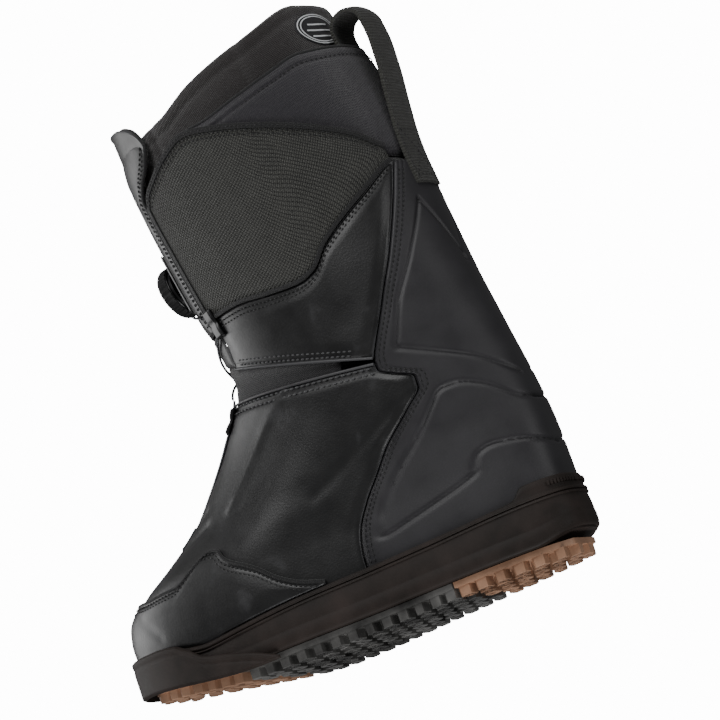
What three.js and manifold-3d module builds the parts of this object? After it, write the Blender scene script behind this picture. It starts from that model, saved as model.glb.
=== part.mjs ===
// Snowboard boot, right foot: cupsole, lasted lower shell, hinged cuff, folding
// tongue with a rotary lace reel, and a removable padded liner.
// Millimetres, +Z up, toe towards -Y, medial side towards +X, tread on z = 0.
import * as THREE from 'three';
import { mergeVertices } from 'three/addons/utils/BufferGeometryUtils.js';
import Module from 'manifold-3d';

const wasm = await Module();
wasm.setup();

// ---- overall sizes --------------------------------------------------------
const FOOT_SCALE = 1;          // length of the foot shape, heel to toe
const WIDTH_SCALE = 1;         // width of foot and shaft
const SHAFT_LEAN = 0;          // extra forward lean of the shaft at the collar
const TOE_RISE = 13;           // height of the toe tip above the resting plane
const TREAD_DEPTH = 6;         // height of the tread lugs
const CUPSOLE_BASE = 9.5;      // underside of the cupsole
const CUPSOLE_FLOOR = 13.3;    // inside floor of the cupsole
const FOAM_TOP = 19.4;         // midsole foam
const BOARD_TOP = 21.7;        // insole board
const COLLAR_TOP = 329;        // top of the soft collar at the heel side
const LINER_TOP = 361;         // top of the liner at the heel side
const WEBBING_WIDTH = 25;      // pull loop
const WEBBING_THICK = 2;
const LOOP_BULGE = 15;         // the free loop stands this far off the collar
const LOOP_CROWN = 40;         // radius that the webbing is bowed to across its width
const REEL_HEIGHT = 243;       // height of the reel axis on the tongue
const KNOB_RADIUS = 15.5;      // reel knob without its grip ring
const LACE_DIA = 1.6;          // steel lace

// ---- material thicknesses and clearances ----------------------------------
const SEAT = 0.8;              // gap between layers that follow the skin
const STACK = 0.4;             // gap between flat slabs
const SEAM = 0.3;              // angular gap either side of a seam, degrees
const RUN = 0.4;               // running clearance in the reel
const PANEL_OUT = 0.3;         // outer face of the shell panels, from the skin
const PANEL_THICK = 1.8;
const LINING_THICK = 2.6;
const OVERLAY_THICK = 1.8;
const LINER_THICK = 6.0;
const PANEL_IN = PANEL_OUT - PANEL_THICK;
const LINING_OUT = PANEL_IN - SEAT - 0.3;
const LINING_IN = LINING_OUT - LINING_THICK;
const OVERLAY_IN = PANEL_OUT + SEAT;
const OVERLAY_OUT = OVERLAY_IN + OVERLAY_THICK;
const LINER_OUT = LINING_IN - SEAT;
const LINER_IN = LINER_OUT - LINER_THICK;

// ---- ankle hinge ----------------------------------------------------------
const HINGE_Y = 78;            // flex axis, across the boot
const LOWER_RIM = 141.5;       // top edge of the lower shell at the axis
const LOWER_SLOPE = 0.165;     // rise of that edge towards the toe
const CUFF_RIM = 144;          // bottom edge of the cuff at the axis
const CUFF_SLOPE = 0.34;
const REAR_SPLIT = 142.3;      // bottom edge of the cuff behind the axis
const GUSSET_TUCK = 3;         // gusset height hidden behind the cuff
const TRAVEL_SLOPE = 0.17;     // room for the cuff lining to come down

// ---- skin: outline of the boot at each height -----------------------------
const BACK = [[14, 150], [45, 150], [80, 149.5], [105, 147], [140, 141.5], [180, 134.5],
  [230, 128], [260, 124.5], [320, 115], [366, 107]];
const FRONT = [[14, -141], [45, -147], [58, -145], [72, -133], [84, -112], [98, -90],
  [115, -72], [138, -53], [165, -35], [185, -34], [210, -39], [240, -45], [280, -52],
  [320, -57], [366, -60]];
const HALF = [[14, 47], [45, 51], [70, 49.5], [95, 46], [130, 45], [165, 47], [200, 51],
  [250, 55], [300, 58], [366, 60]];
const MEDIAL = [[0, 0.78], [0.18, 0.8], [0.38, 0.8], [0.68, 1.05], [0.85, 1.04], [1, 0.95]];
const LATERAL = [[0, 0.78], [0.18, 0.82], [0.4, 0.9], [0.62, 1.08], [0.85, 1.02], [1, 0.9]];
const SHAFT_FROM = 60;         // the foot shape blends into the shaft shape
const SHAFT_TO = 150;
const TOE_INWARD = 7;          // the toe tip leans to the medial side
const COLUMNS = 40;            // points round the boot

const RAD = Math.PI / 180;
const clamp = (v, a, b) => Math.min(b, Math.max(a, v));
const lerp = (a, b, t) => a + (b - a) * t;
const smooth = (a, b, v) => { const t = clamp((v - a) / (b - a), 0, 1); return t * t * (3 - 2 * t); };

// Smooth curve through (key, value) pairs that never overshoots them.
function curve(x, pts) {
  const n = pts.length - 1;
  const v = clamp(x, pts[0][0], pts[n][0]);
  const slope = (i) => (pts[i + 1][1] - pts[i][1]) / (pts[i + 1][0] - pts[i][0]);
  const tangent = (i) => {
    if (i === 0) return slope(0);
    if (i === n) return slope(n - 1);
    const a = slope(i - 1), b = slope(i);
    return a * b <= 0 ? 0 : (2 * a * b) / (a + b);
  };
  let i = 0;
  while (i < n - 1 && v > pts[i + 1][0]) i += 1;
  const h = pts[i + 1][0] - pts[i][0], t = (v - pts[i][0]) / h;
  const a = t * t * (2 * t - 3) + 1, b = t * (t - 1) * (t - 1), d = t * t * (t - 1);
  return a * pts[i][1] + b * h * tangent(i) + (1 - a) * pts[i + 1][1] + d * h * tangent(i + 1);
}

// Point of the skin at angle phi (0 heel, 90 medial, 180 toe) and height z.
function skinPoint(phi, z) {
  const a = phi * RAD, s = Math.sin(a), f = (1 - Math.cos(a)) / 2;
  const lean = SHAFT_LEAN * smooth(SHAFT_TO, LINER_TOP, z);
  const back = curve(z, BACK) * FOOT_SCALE, front = curve(z, FRONT) * FOOT_SCALE;
  const foot = 1 - smooth(SHAFT_FROM, SHAFT_TO, z);
  const k = foot * curve(f, s >= 0 ? MEDIAL : LATERAL) + (1 - foot);
  const end = 0.64 + 0.3 * (1 - foot);
  const half = curve(z, HALF) * WIDTH_SCALE * k;
  const x = half * Math.sign(s) * Math.abs(s) ** end + foot * TOE_INWARD * f * f;
  return new THREE.Vector3(x, back + (front - back) * f - lean, z);
}

// Outward normal of the skin.
function skinNormal(phi, z) {
  const du = skinPoint(phi + 0.5, z).sub(skinPoint(phi - 0.5, z));
  const dv = skinPoint(phi, z + 0.5).sub(skinPoint(phi, z - 0.5));
  return dv.cross(du).normalize();
}

const onSkin = (phi, z, off) => skinPoint(phi, z).addScaledVector(skinNormal(phi, z), off);
const rise = (y) => TOE_RISE * smooth(-40, -152, y);
const columns = (a, b) => {
  const step = 360 / COLUMNS, list = [a];
  for (let k = Math.ceil((a + 1.5) / step); k * step < b - 1.5; k += 1) list.push(k * step);
  list.push(b);
  return list;
};

// ---- edge lines in angle and height, mirrored for the lateral side --------
const fold = (phi) => { const p = ((phi % 360) + 360) % 360; return p > 180 ? 360 - p : p; };
const heightAtY = (phi, start, rule) => {
  let z = start;
  for (let k = 0; k < 6; k += 1) z = rule(skinPoint(phi, z).y);
  return z;
};
const lowerRim = (phi) => heightAtY(phi, 150,
  (y) => LOWER_RIM + Math.max(0, HINGE_Y - y) * LOWER_SLOPE);
const cuffRim = (phi) => heightAtY(phi, 160,
  (y) => (y > HINGE_Y ? REAR_SPLIT + (CUFF_RIM - REAR_SPLIT) * smooth(HINGE_Y + 14, HINGE_Y, y)
    : CUFF_RIM + (HINGE_Y - y) * CUFF_SLOPE));
const liningRim = (phi) => heightAtY(phi, 170, (y) => (y > HINGE_Y ? cuffRim(phi)
  : CUFF_RIM + (HINGE_Y - y) * (CUFF_SLOPE + TRAVEL_SLOPE) + (GUSSET_TUCK + 1.8) * smooth(78, 62, y)));
const gussetRim = (phi) => cuffRim(phi) + GUSSET_TUCK;
const soleLine = (phi) => CUPSOLE_FLOOR + STACK + rise(skinPoint(phi, 20).y);
const panelTop = (phi) => curve(fold(phi), [[0, 258], [18, 260], [34, 273], [56, 288], [70, 297],
  [86, 306], [100, 311], [112, 306], [125, 298], [135, 292], [141, 285], [180, 285]]);
const panelBottom = (phi) => curve(fold(phi), [[0, 254], [20, 251], [43, 236], [68, 216],
  [78, 204], [86, 201], [100, 203], [117, 207], [141, 208]]);
const collarTop = (phi) => curve(fold(phi), [[0, COLLAR_TOP], [10, COLLAR_TOP], [38, COLLAR_TOP],
  [56, COLLAR_TOP - 6], [73, COLLAR_TOP - 12], [92, COLLAR_TOP - 17], [104, COLLAR_TOP - 17]]);
const linerTop = (phi) => curve(fold(phi), [[0, LINER_TOP], [20, LINER_TOP], [60, LINER_TOP - 13],
  [91, LINER_TOP - 23], [112, LINER_TOP - 33], [150, LINER_TOP - 37], [180, LINER_TOP - 37]]);
const throatTop = (phi) => curve(fold(phi), [[0, 999], [152, 999], [156, 160], [158, 156],
  [161, 128], [165, 114], [171, 109], [180, 107]]);
const backstayUpper = (z) => curve(z, [[142, 70], [151, 68], [174, 58], [198, 45], [228, 30],
  [247, 21], [260, 15]]);
const backstayLower = (z) => curve(z, [[13, 80], [53, 78], [74, 75], [93, 72], [110, 63],
  [120, 57], [126, 57], [132, 64], [137, 69.5], [142, 70]]);
const CAP_END = 90;            // rear end of the toe cap
const FLAP_EDGE = 141;         // front edge of the cuff flaps
const TONGUE_EDGE = 142.6;     // edge of the tongue, clear of the flaps

// ---- solids from grids ----------------------------------------------------
function closedMesh(points, faces) {       // quads are cut along the shorter diagonal
  const tri = [];
  for (const f of faces) {
    const [a, b, c, d] = f;
    if (f.length === 3) tri.push(a, b, c);
    else if (points[a].distanceTo(points[c]) <= points[b].distanceTo(points[d])) tri.push(a, b, c, a, c, d);
    else tri.push(a, b, d, b, c, d);
  }
  const at = (i) => points[i];
  let volume = 0;
  for (let i = 0; i < tri.length; i += 3) {
    const n = new THREE.Vector3().crossVectors(at(tri[i + 1]), at(tri[i + 2]));
    volume += at(tri[i]).dot(n);
  }
  if (volume < 0) for (let i = 0; i < tri.length; i += 3) [tri[i], tri[i + 1]] = [tri[i + 1], tri[i]];
  const g = new THREE.BufferGeometry();
  g.setAttribute('position', new THREE.Float32BufferAttribute(points.flatMap((p) => p.toArray()), 3));
  g.setIndex(tri);
  return g;
}

// Curved plate: rows by columns of outer points over matching inner points.
function plate(nu, nv, outer, inner) {
  const points = [], faces = [], id = (i, j, s) => s * nu * nv + j * nu + i;
  for (const side of [outer, inner]) {
    for (let j = 0; j < nv; j += 1) for (let i = 0; i < nu; i += 1) points.push(side(i, j));
  }
  for (let j = 0; j + 1 < nv; j += 1) {
    for (let i = 0; i + 1 < nu; i += 1) {
      faces.push([id(i, j, 0), id(i + 1, j, 0), id(i + 1, j + 1, 0), id(i, j + 1, 0)]);
      faces.push([id(i, j, 1), id(i, j + 1, 1), id(i + 1, j + 1, 1), id(i + 1, j, 1)]);
    }
  }
  const wall = (a, b, c, d) => faces.push([a, b, c, d]);
  for (let i = 0; i + 1 < nu; i += 1) {
    wall(id(i + 1, 0, 0), id(i, 0, 0), id(i, 0, 1), id(i + 1, 0, 1));
    wall(id(i, nv - 1, 0), id(i + 1, nv - 1, 0), id(i + 1, nv - 1, 1), id(i, nv - 1, 1));
  }
  for (let j = 0; j + 1 < nv; j += 1) {
    wall(id(0, j, 0), id(0, j + 1, 0), id(0, j + 1, 1), id(0, j, 1));
    wall(id(nu - 1, j + 1, 0), id(nu - 1, j, 0), id(nu - 1, j, 1), id(nu - 1, j + 1, 1));
  }
  return closedMesh(points, faces);
}

// Rings of COLUMNS points: looped back to the first, or capped at both ends.
function rings(list, looped) {
  const n = COLUMNS, points = list.flat(), faces = [], last = list.length - 1;
  for (let r = 0; r < (looped ? last + 1 : last); r += 1) {
    const a = r * n, b = ((r + 1) % (last + 1)) * n;
    for (let i = 0; i < n; i += 1) {
      const k = (i + 1) % n;
      faces.push([a + i, a + k, b + k, b + i]);
    }
  }
  const cap = (base, flip) => {
    for (let i = 0; i < n / 2; i += 1) {
      const q = [i, i + 1, (n - i - 1) % n, (n - i) % n].map((v) => base + v);
      const f = i === 0 ? [q[0], q[1], q[2]] : i === n / 2 - 1 ? [q[0], q[1], q[3]] : q;
      faces.push(flip ? f.slice().reverse() : f);
    }
  };
  if (!looped) { cap(0, true); cap(last * n, false); }
  return closedMesh(points, faces);
}

const ring = (at) => Array.from({ length: COLUMNS }, (_, i) => at((i * 360) / COLUMNS));

// ---- node list ------------------------------------------------------------
const boot = new THREE.Group();
boot.name = 'snowboard_boot';
const finish = (color, roughness, metalness = 0) =>
  new THREE.MeshStandardMaterial({ color, roughness, metalness });
const LEATHER = finish(0x1d1d1f, 0.45);
const CANVAS = finish(0x3a3a38, 0.85);
const MOULDED = finish(0x3f3e40, 0.6);
const KNIT = finish(0x2c2930, 0.95);
const LINER_FELT = finish(0x1d1817, 0.95);
const BLACK_RUBBER = finish(0x2e2a28, 0.75);
const LUG_RUBBER = finish(0x141414, 0.5);
const GUM_RUBBER = finish(0x8a6248, 0.7);
const FOAM = finish(0x4a4846, 0.9);
const BOARD = finish(0x8f8878, 0.9);
const PLASTIC = finish(0x18181a, 0.4);
const STEEL = finish(0xb9bcc0, 0.3, 1);

function add(name, geometry, material) {
  const mesh = new THREE.Mesh(geometry, material);
  mesh.name = name;
  boot.add(mesh);
}

// ---- shells and panels ----------------------------------------------------
const ROWS = [0, 0.08, 0.16, 0.23, 0.29, 0.35, 0.41, 0.48, 0.56, 0.65, 0.74, 0.79, 0.83, 0.87,
  0.91, 0.955, 1];
const LINER_ROWS = [0, 0.12, 0.23, 0.31, 0.39, 0.48, 0.6, 0.74, 0.88, 1];
const even = (n) => Array.from({ length: n + 1 }, (_, i) => i / n);

function ringShell(bottom, top, outer, inner, rows) {
  const level = (off, t) => ring((phi) => onSkin(phi, lerp(bottom(phi), top(phi), t), off));
  const list = [...rows.map((t) => level(outer, t)), ...rows.slice().reverse().map((t) => level(inner, t))];
  return rings(list, true);
}

// Panel between two angle edges; each edge may follow the height.
function panel({ from, to, bottom, top, outer, inner, rows }) {
  const edge = (rule, guess, t) => {
    let phi = guess;
    for (let k = 0; k < 40; k += 1) phi = lerp(phi, rule(lerp(bottom(phi), top(phi), t)), 0.5);
    return phi;
  };
  const base = columns(from(lerp(bottom(90), top(90), 0.5)), to(lerp(bottom(90), top(90), 0.5)));
  const span = base[base.length - 1] - base[0];
  const grid = rows.map((t) => {
    const a = edge(from, base[0], t), b = edge(to, base[base.length - 1], t);
    return base.map((p) => {
      const phi = lerp(a, b, (p - base[0]) / span);
      return [phi, lerp(bottom(phi), top(phi), t)];
    });
  });
  const at = (off) => (i, j) => {
    const [phi, z] = grid[j][i];
    return onSkin(phi, z, typeof off === 'function' ? off(phi, z) : off);
  };
  return plate(base.length, rows.length, at(outer), at(inner));
}

const fixed = (v) => () => v;
const mirrored = (spec) => ({ ...spec, from: (z) => 360 - spec.to(z), to: (z) => 360 - spec.from(z) });

function addPair(name, spec, material) {
  add(`${name}_medial`, panel(spec), material);
  add(`${name}_lateral`, panel(mirrored(spec)), material);
}

function buildLowerShell() {
  add('lower_lining', ringShell(soleLine, lowerRim, LINING_OUT, LINING_IN, ROWS), LEATHER);
  add('vamp', panel({
    from: (z) => backstayLower(z) + SEAM, to: (z) => 360 - backstayLower(z) - SEAM,
    bottom: soleLine, top: (phi) => Math.min(lowerRim(phi), throatTop(phi)),
    outer: PANEL_OUT, inner: PANEL_IN, rows: ROWS,
  }), LEATHER);
  add('throat_tongue', panel({
    from: (z) => 180 - lerp(10, 19, smooth(116, 140, z)),
    to: (z) => 180 + lerp(10, 19, smooth(116, 140, z)),
    bottom: fixed(116), top: (phi) => lowerRim(phi) - 1,
    outer: PANEL_OUT, inner: PANEL_IN, rows: even(5),
  }), KNIT);
  add('backstay_lower', panel({
    from: (z) => -backstayLower(z) + SEAM, to: (z) => backstayLower(z) - SEAM,
    bottom: soleLine, top: fixed(LOWER_RIM), outer: PANEL_OUT, inner: PANEL_IN,
    rows: ROWS,
  }), MOULDED);
  add('toe_cap', panel({
    from: fixed(CAP_END), to: fixed(360 - CAP_END), bottom: (phi) => lipLine(phi) + 1,
    top: (phi) => curve(fold(phi), [[CAP_END, 40], [97, 48], [104, 59], [113, 70], [120, 78],
      [124, 79], [127, 74], [131, 68], [145, 68], [160, 69.5], [180, 70]]),
    outer: OVERLAY_OUT, inner: OVERLAY_IN, rows: even(5),
  }), LEATHER);
  add('ankle_gusset', panel({
    from: fixed(84), to: fixed(276), bottom: (phi) => lowerRim(phi) + STACK, top: gussetRim,
    outer: LINING_OUT, inner: LINING_IN, rows: even(3),
  }), KNIT);
}

// ---- sole -----------------------------------------------------------------
const lipLine = (phi) => curve(skinPoint(phi, 30).y / FOOT_SCALE, [[-152, 41], [-110, 37], [-78, 31],
  [-55, 32], [0, 35], [70, 36], [116, 38], [124, 39], [131, 45], [150, 46]]);
const wallOut = (phi) => 3.4 + 1.2 * smooth(90, 180, fold(phi));

function soleRing(off, height, at = 30) {
  return ring((phi) => {
    const p = onSkin(phi, at, typeof off === 'function' ? off(phi) : off);
    p.z = height(phi, p.y);
    return p;
  });
}

const HEEL_BEVEL = 5;          // the heel's underside lifts this far at its end
const BUMPER_THICK = 1.8;      // toe bumper
const BUMPER_DROP = 4.5;       // the bumper reaches this far below the cupsole

function buildCupsole() {
  const base = (_, y) => CUPSOLE_BASE + rise(y);
  const heelBevel = (y) => HEEL_BEVEL * smooth(128, 152, y);
  const inside = OVERLAY_IN + 0.2;
  const wall = (t, off) => ring((phi) => {
    const low = CUPSOLE_FLOOR + rise(skinPoint(phi, 20).y);
    return onSkin(phi, lerp(low, lipLine(phi), t), off);
  });
  const list = [
    soleRing(1.2, (phi, y) => base(phi, y) + heelBevel(y)),
    soleRing((phi) => wallOut(phi) + 0.6, (phi, y) => base(phi, y) + 3 + heelBevel(y)),
    soleRing((phi) => wallOut(phi) + 0.9, (phi, y) => lerp(base(phi, y) + 4, lipLine(phi), 0.55)),
    soleRing((phi) => wallOut(phi) - 0.2, (phi) => lipLine(phi) - 2),
    soleRing((phi) => wallOut(phi) - 1.1, (phi) => lipLine(phi)),
    wall(1, inside), wall(0.62, inside), wall(0.3, inside), wall(0, inside),
  ];
  add('cupsole', rings(list, false), BLACK_RUBBER);
}

function buildToeBumper() {
  const low = (phi) => CUPSOLE_BASE - BUMPER_DROP + rise(skinPoint(phi, 30).y);
  const high = (phi) => curve(fold(phi), [[104, 9], [118, 20], [126, 24], [131, 31], [142, 36.5],
    [180, 40]]);
  const gap = (phi) => wallOut(phi) + 0.9 + SEAT;
  const spec = columns(104, 256), rows = even(3);
  const at = (thick) => (i, j) => {
    const phi = spec[i], p = onSkin(phi, 30, gap(phi) + thick);
    p.z = lerp(low(phi), high(phi), rows[j]);
    return p;
  };
  add('toe_bumper', plate(spec.length, rows.length, at(BUMPER_THICK), at(0)), BLACK_RUBBER);
}

function buildMidsole() {
  const inset = LINING_IN - SEAT;
  const slab = (z0, z1) => rings([z0, z1].map((z) => soleRing(inset, (_, y) => z + rise(y), 14)), false);
  add('midsole_foam', slab(CUPSOLE_FLOOR + STACK, FOAM_TOP), FOAM);
  add('insole_board', slab(FOAM_TOP + STACK, BOARD_TOP), BOARD);
}

// Half width of the tread at a lengthwise position, on one side.
function treadEdge(y, side) {
  const back = skinPoint(0, 30).y, front = skinPoint(180, 30).y;
  const f = clamp((back - y) / (back - front), 0, 1);
  const phi = Math.acos(1 - 2 * f) / RAD;
  const inset = 1.4 + 3.2 * smooth(back - 22, back, y);
  return onSkin(side > 0 ? phi : 360 - phi, 30, -inset).x;
}

function hexahedron(xs0, xs1, ys, z0, z1) {
  const corner = (k) => {
    const j = k & 1, hi = (k >> 1) & 1, far = (k >> 2) & 1;
    const x = hi ? xs1[j] : xs0[j];
    return [x, ys[j], (far ? z1 : z0) + rise(ys[j])];
  };
  const p = Array.from({ length: 8 }, (_, k) => new THREE.Vector3(...corner(k)));
  return closedMesh(p, [[0, 1, 3, 2], [4, 6, 7, 5], [0, 4, 5, 1], [2, 3, 7, 6], [0, 2, 6, 4],
    [1, 5, 7, 3]]);
}

function toManifold(geometry) {
  const g = geometry.index ? geometry.clone() : geometry;
  for (const k of ['normal', 'uv']) g.deleteAttribute(k);
  const m = mergeVertices(g, 1e-4);
  return new wasm.Manifold(new wasm.Mesh({
    numProp: 3, vertProperties: new Float32Array(m.attributes.position.array),
    triVerts: new Uint32Array(m.index.array),
  }));
}

function fromManifold(solid) {
  const m = solid.getMesh(), g = new THREE.BufferGeometry();
  g.setAttribute('position', new THREE.Float32BufferAttribute(Array.from(m.vertProperties), 3));
  g.setIndex(Array.from(m.triVerts));
  return g;
}

const PLATE_UNDER = TREAD_DEPTH - 0.3;
const PLATE_TOP = CUPSOLE_BASE - STACK;
const LUG_PITCH = 14.5;
const LUG_GAP = 4;

// One tread zone: a base plate with a row of lugs every LUG_PITCH.
function buildTread(name, yFrom, yTo, across, material) {
  const rows = Math.max(2, Math.round((yTo - yFrom) / LUG_PITCH)), step = (yTo - yFrom) / rows;
  let body = null;
  const join = (g) => { const m = toManifold(g); body = body ? body.add(m) : m; };
  const corner = (z) => (i, j) => {
    const y = yFrom + (j * step) / 2;
    return new THREE.Vector3(treadEdge(y, i ? 1 : -1), y, z + rise(y));
  };
  join(plate(2, rows * 2 + 1,
    corner(PLATE_TOP), corner(PLATE_UNDER)));
  for (let r = 0; r < rows; r += 1) {
    const ys = [yFrom + r * step + LUG_GAP / 2, yFrom + (r + 1) * step - LUG_GAP / 2];
    const left = ys.map((y) => treadEdge(y, -1)), right = ys.map((y) => treadEdge(y, 1));
    for (let c = 0; c < across; c += 1) {
      const cut = (t, shift) => ys.map((_, j) => lerp(left[j], right[j], t) + shift);
      const x0 = cut(c / across, c ? LUG_GAP / 2 : 0);
      const x1 = cut((c + 1) / across, c + 1 < across ? -LUG_GAP / 2 : 0);
      join(hexahedron(x0, x1, ys, 0, TREAD_DEPTH));
    }
  }
  add(name, fromManifold(body), material);
}

function buildSole() {
  buildCupsole();
  buildToeBumper();
  buildMidsole();
  const k = FOOT_SCALE;
  buildTread('tread_heel', 76 * k, 145.5 * k, 3, GUM_RUBBER);
  buildTread('tread_midfoot', -65.5 * k, 75 * k, 3, LUG_RUBBER);
  buildTread('tread_toe', -141 * k, -66.5 * k, 3, GUM_RUBBER);
}

// ---- cuff -----------------------------------------------------------------
function buildCuff() {
  add('cuff_lining', panel({
    from: fixed(-FLAP_EDGE), to: fixed(FLAP_EDGE), bottom: liningRim,
    top: (phi) => panelTop(phi) - 6, outer: LINING_OUT, inner: LINING_IN, rows: even(8),
  }), KNIT);
  addPair('woven_panel', {
    from: (z) => lerp(21, 24, smooth(254, 245, z)), to: fixed(FLAP_EDGE),
    bottom: panelBottom, top: panelTop, outer: PANEL_OUT, inner: PANEL_IN, rows: even(6),
  }, CANVAS);
  addPair('ankle_band', {
    from: (z) => backstayUpper(z) + SEAM, to: fixed(FLAP_EDGE),
    bottom: (phi) => cuffRim(phi), top: (phi) => panelBottom(phi) - 1.4,
    outer: PANEL_OUT, inner: PANEL_IN, rows: even(6),
  }, LEATHER);
  add('backstay_upper', panel({
    from: (z) => -backstayUpper(z) + SEAM, to: (z) => backstayUpper(z) - SEAM,
    bottom: fixed(REAR_SPLIT), top: fixed(250), outer: PANEL_OUT, inner: PANEL_IN, rows: even(9),
  }), MOULDED);
  add('soft_collar', panel({
    from: fixed(-103), to: fixed(103), bottom: (phi) => panelTop(phi) - 5.5, top: collarTop,
    outer: LINING_OUT, inner: LINING_IN, rows: even(5),
  }), KNIT);
}

// Webbing loop: stitched to the backstay, over the collar and down inside it.
function buildPullLoop() {
  const out = OVERLAY_IN + WEBBING_THICK / 2;
  const back = (z, off) => { const p = onSkin(0, z, off); return [p.y, p.z]; };
  const inside = LINING_IN - SEAT - WEBBING_THICK / 2 - 0.4;
  const arch = COLLAR_TOP + 8, rear = back(arch, out)[0] + LOOP_BULGE, near = back(arch, inside)[0];
  const mid = (rear + near) / 2, radius = (rear - near) / 2;
  const path = [224, 240, 254, 266, 285, 305, COLLAR_TOP - 8]
    .map((z) => back(z, out + LOOP_BULGE * smooth(250, 335, z)));
  for (let k = 0; k <= 8; k += 1) {
    const a = (k / 8) * Math.PI;
    path.push([mid + radius * Math.cos(a), arch + radius * Math.sin(a)]);
  }
  for (const z of [COLLAR_TOP - 6, COLLAR_TOP - 18, COLLAR_TOP - 30]) path.push(back(z, inside));
  const centres = path.map(([y, z]) => new THREE.Vector3(0, y, z));
  const line = new THREE.CatmullRomCurve3(centres, false, 'centripetal');
  const steps = 28, across = 4;
  const at = (side) => (i, j) => {
    const t = j / steps, p = line.getPoint(t), d = line.getTangent(t);
    const n = new THREE.Vector3(0, d.z, -d.y);
    const x = lerp(-WEBBING_WIDTH / 2, WEBBING_WIDTH / 2, i / across);
    return new THREE.Vector3(x, p.y - (x * x) / (2 * LOOP_CROWN), p.z)
      .addScaledVector(n, (side * WEBBING_THICK) / 2);
  };
  add('pull_loop', plate(across + 1, steps + 1, at(1), at(-1)), KNIT);
}

// ---- tongue and reel ------------------------------------------------------
const tongueTop = (phi) => curve(fold(phi), [[126, 316], [132, 333], [142, 343], [160, 347],
  [180, 348]]);
const TONGUE_FOLD = 200.5;     // fold line of the tongue
const tongueWing = (z) => curve(z, [[184, TONGUE_EDGE], [292, TONGUE_EDGE], [300, 136],
  [310, 128], [345, 127]]);

function buildTongue() {
  add('tongue_root', panel({
    from: fixed(FLAP_EDGE + 0.6), to: fixed(359.4 - FLAP_EDGE), bottom: (phi) => cuffRim(phi) + 2,
    top: fixed(TONGUE_FOLD - SEAT), outer: PANEL_OUT, inner: PANEL_IN, rows: even(2),
  }), LEATHER);
  add('shell_tongue', panel({
    from: tongueWing, to: (z) => 360 - tongueWing(z), bottom: fixed(TONGUE_FOLD + SEAT), top: tongueTop,
    outer: PANEL_OUT, inner: PANEL_IN,
    rows: [0, 0.12, 0.24, 0.36, 0.48, 0.6, 0.66, 0.7, 0.74, 0.8, 0.9, 1],
  }), LEATHER);
  add('tongue_pad', panel({
    from: fixed(TONGUE_EDGE + 1.5), to: fixed(360 - TONGUE_EDGE - 1.5), bottom: fixed(204),
    top: fixed(338), outer: LINING_OUT, inner: LINING_IN, rows: even(9),
  }), KNIT);
}

const REEL_SEAT = OVERLAY_IN + 1.6;
const reelAxis = skinNormal(180, REEL_HEIGHT);
const reelOrigin = onSkin(180, REEL_HEIGHT, REEL_SEAT);
const reelTurn = new THREE.Quaternion().setFromUnitVectors(new THREE.Vector3(0, 0, 1), reelAxis);

// Turned part on the reel axis from (radius, height) pairs; radius 0 closes it.
function turned(name, profile, material, shape = () => 1, segments = 24) {
  const points = [], rows = profile.map(([r, h]) => {
    const start = points.length, count = r === 0 ? 1 : segments;
    for (let i = 0; i < count; i += 1) {
      const a = (i / segments) * 2 * Math.PI, k = r * shape(i, r);
      points.push(new THREE.Vector3(k * Math.cos(a), k * Math.sin(a), h)
        .applyQuaternion(reelTurn).add(reelOrigin));
    }
    return { start, count };
  });
  const faces = [], on = (row, i) => row.start + (row.count === 1 ? 0 : i % segments);
  const pairs = rows.length - (profile[0][0] === 0 ? 1 : 0);
  for (let r = 0; r < pairs; r += 1) {
    const a = rows[r], b = rows[(r + 1) % rows.length];
    for (let i = 0; i < segments; i += 1) {
      const quad = [on(a, i), on(a, i + 1), on(b, i + 1), on(b, i)];
      faces.push(a.count === 1 ? quad.slice(1) : b.count === 1 ? quad.slice(0, 3) : quad);
    }
  }
  add(name, closedMesh(points, faces), material);
}

const RIBS = 24;

function buildReel() {
  const K = KNOB_RADIUS, bore = K - 4.4, post = 2.8;
  add('reel_mount', panel({
    from: fixed(161), to: fixed(199), bottom: fixed(REEL_HEIGHT - 20), top: fixed(REEL_HEIGHT + 19),
    outer: OVERLAY_IN + 1.2, inner: OVERLAY_IN, rows: even(4),
  }), PLASTIC);
  turned('reel_housing', [[1.5, 0], [K - 1.4, 0], [K - 1.4, 6.4], [bore, 6.4], [bore, 1.4],
    [post, 1.4], [post, 6.8], [1.5, 6.8]], PLASTIC);
  turned('reel_spool', [[post + RUN, 1.8], [bore - RUN, 1.8], [bore - RUN, 2.4], [bore - 2.4, 2.7],
    [bore - 2.4, 4.1], [bore - RUN, 4.4], [bore - RUN, 5], [post + RUN, 5]], PLASTIC);
  turned('reel_axle_screw', [[0, 0.4], [1.1, 0.4], [1.1, 7.1], [2.4, 7.1], [2.4, 7.9], [0, 7.9]], STEEL);
  turned('ratchet_disc', [[post + RUN, 5.4], [bore - RUN, 5.4], [bore - RUN, 6.4], [post + RUN, 6.4]],
    PLASTIC, (i, r) => (r > 5 && i % 2 ? 0.95 : 1));
  turned('reel_knob', [[0, 8.4], [4, 8.4], [4, 6.8], [9.4, 6.8], [9.4, 8.4], [K - 0.9, 8.4],
    [K - 0.9, 1.7], [K, 1.7], [K, 8.8], [K - 1, 9.6], [0, 9.6]], PLASTIC);
  turned('knob_grip', [[K + 0.3, 2.1], [K + 1.3, 2.4], [K + 1.3, 7.6], [K + 0.3, 8]], BLACK_RUBBER,
    (i, r) => (r > K + 1 && i % 2 ? 1 - 0.7 / r : 1), RIBS * 2);
  turned('knob_inlay', [[0, 9.9], [K - 4.5, 9.9], [K - 4.5, 10.4], [0, 10.4]], BLACK_RUBBER);
}

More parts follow.
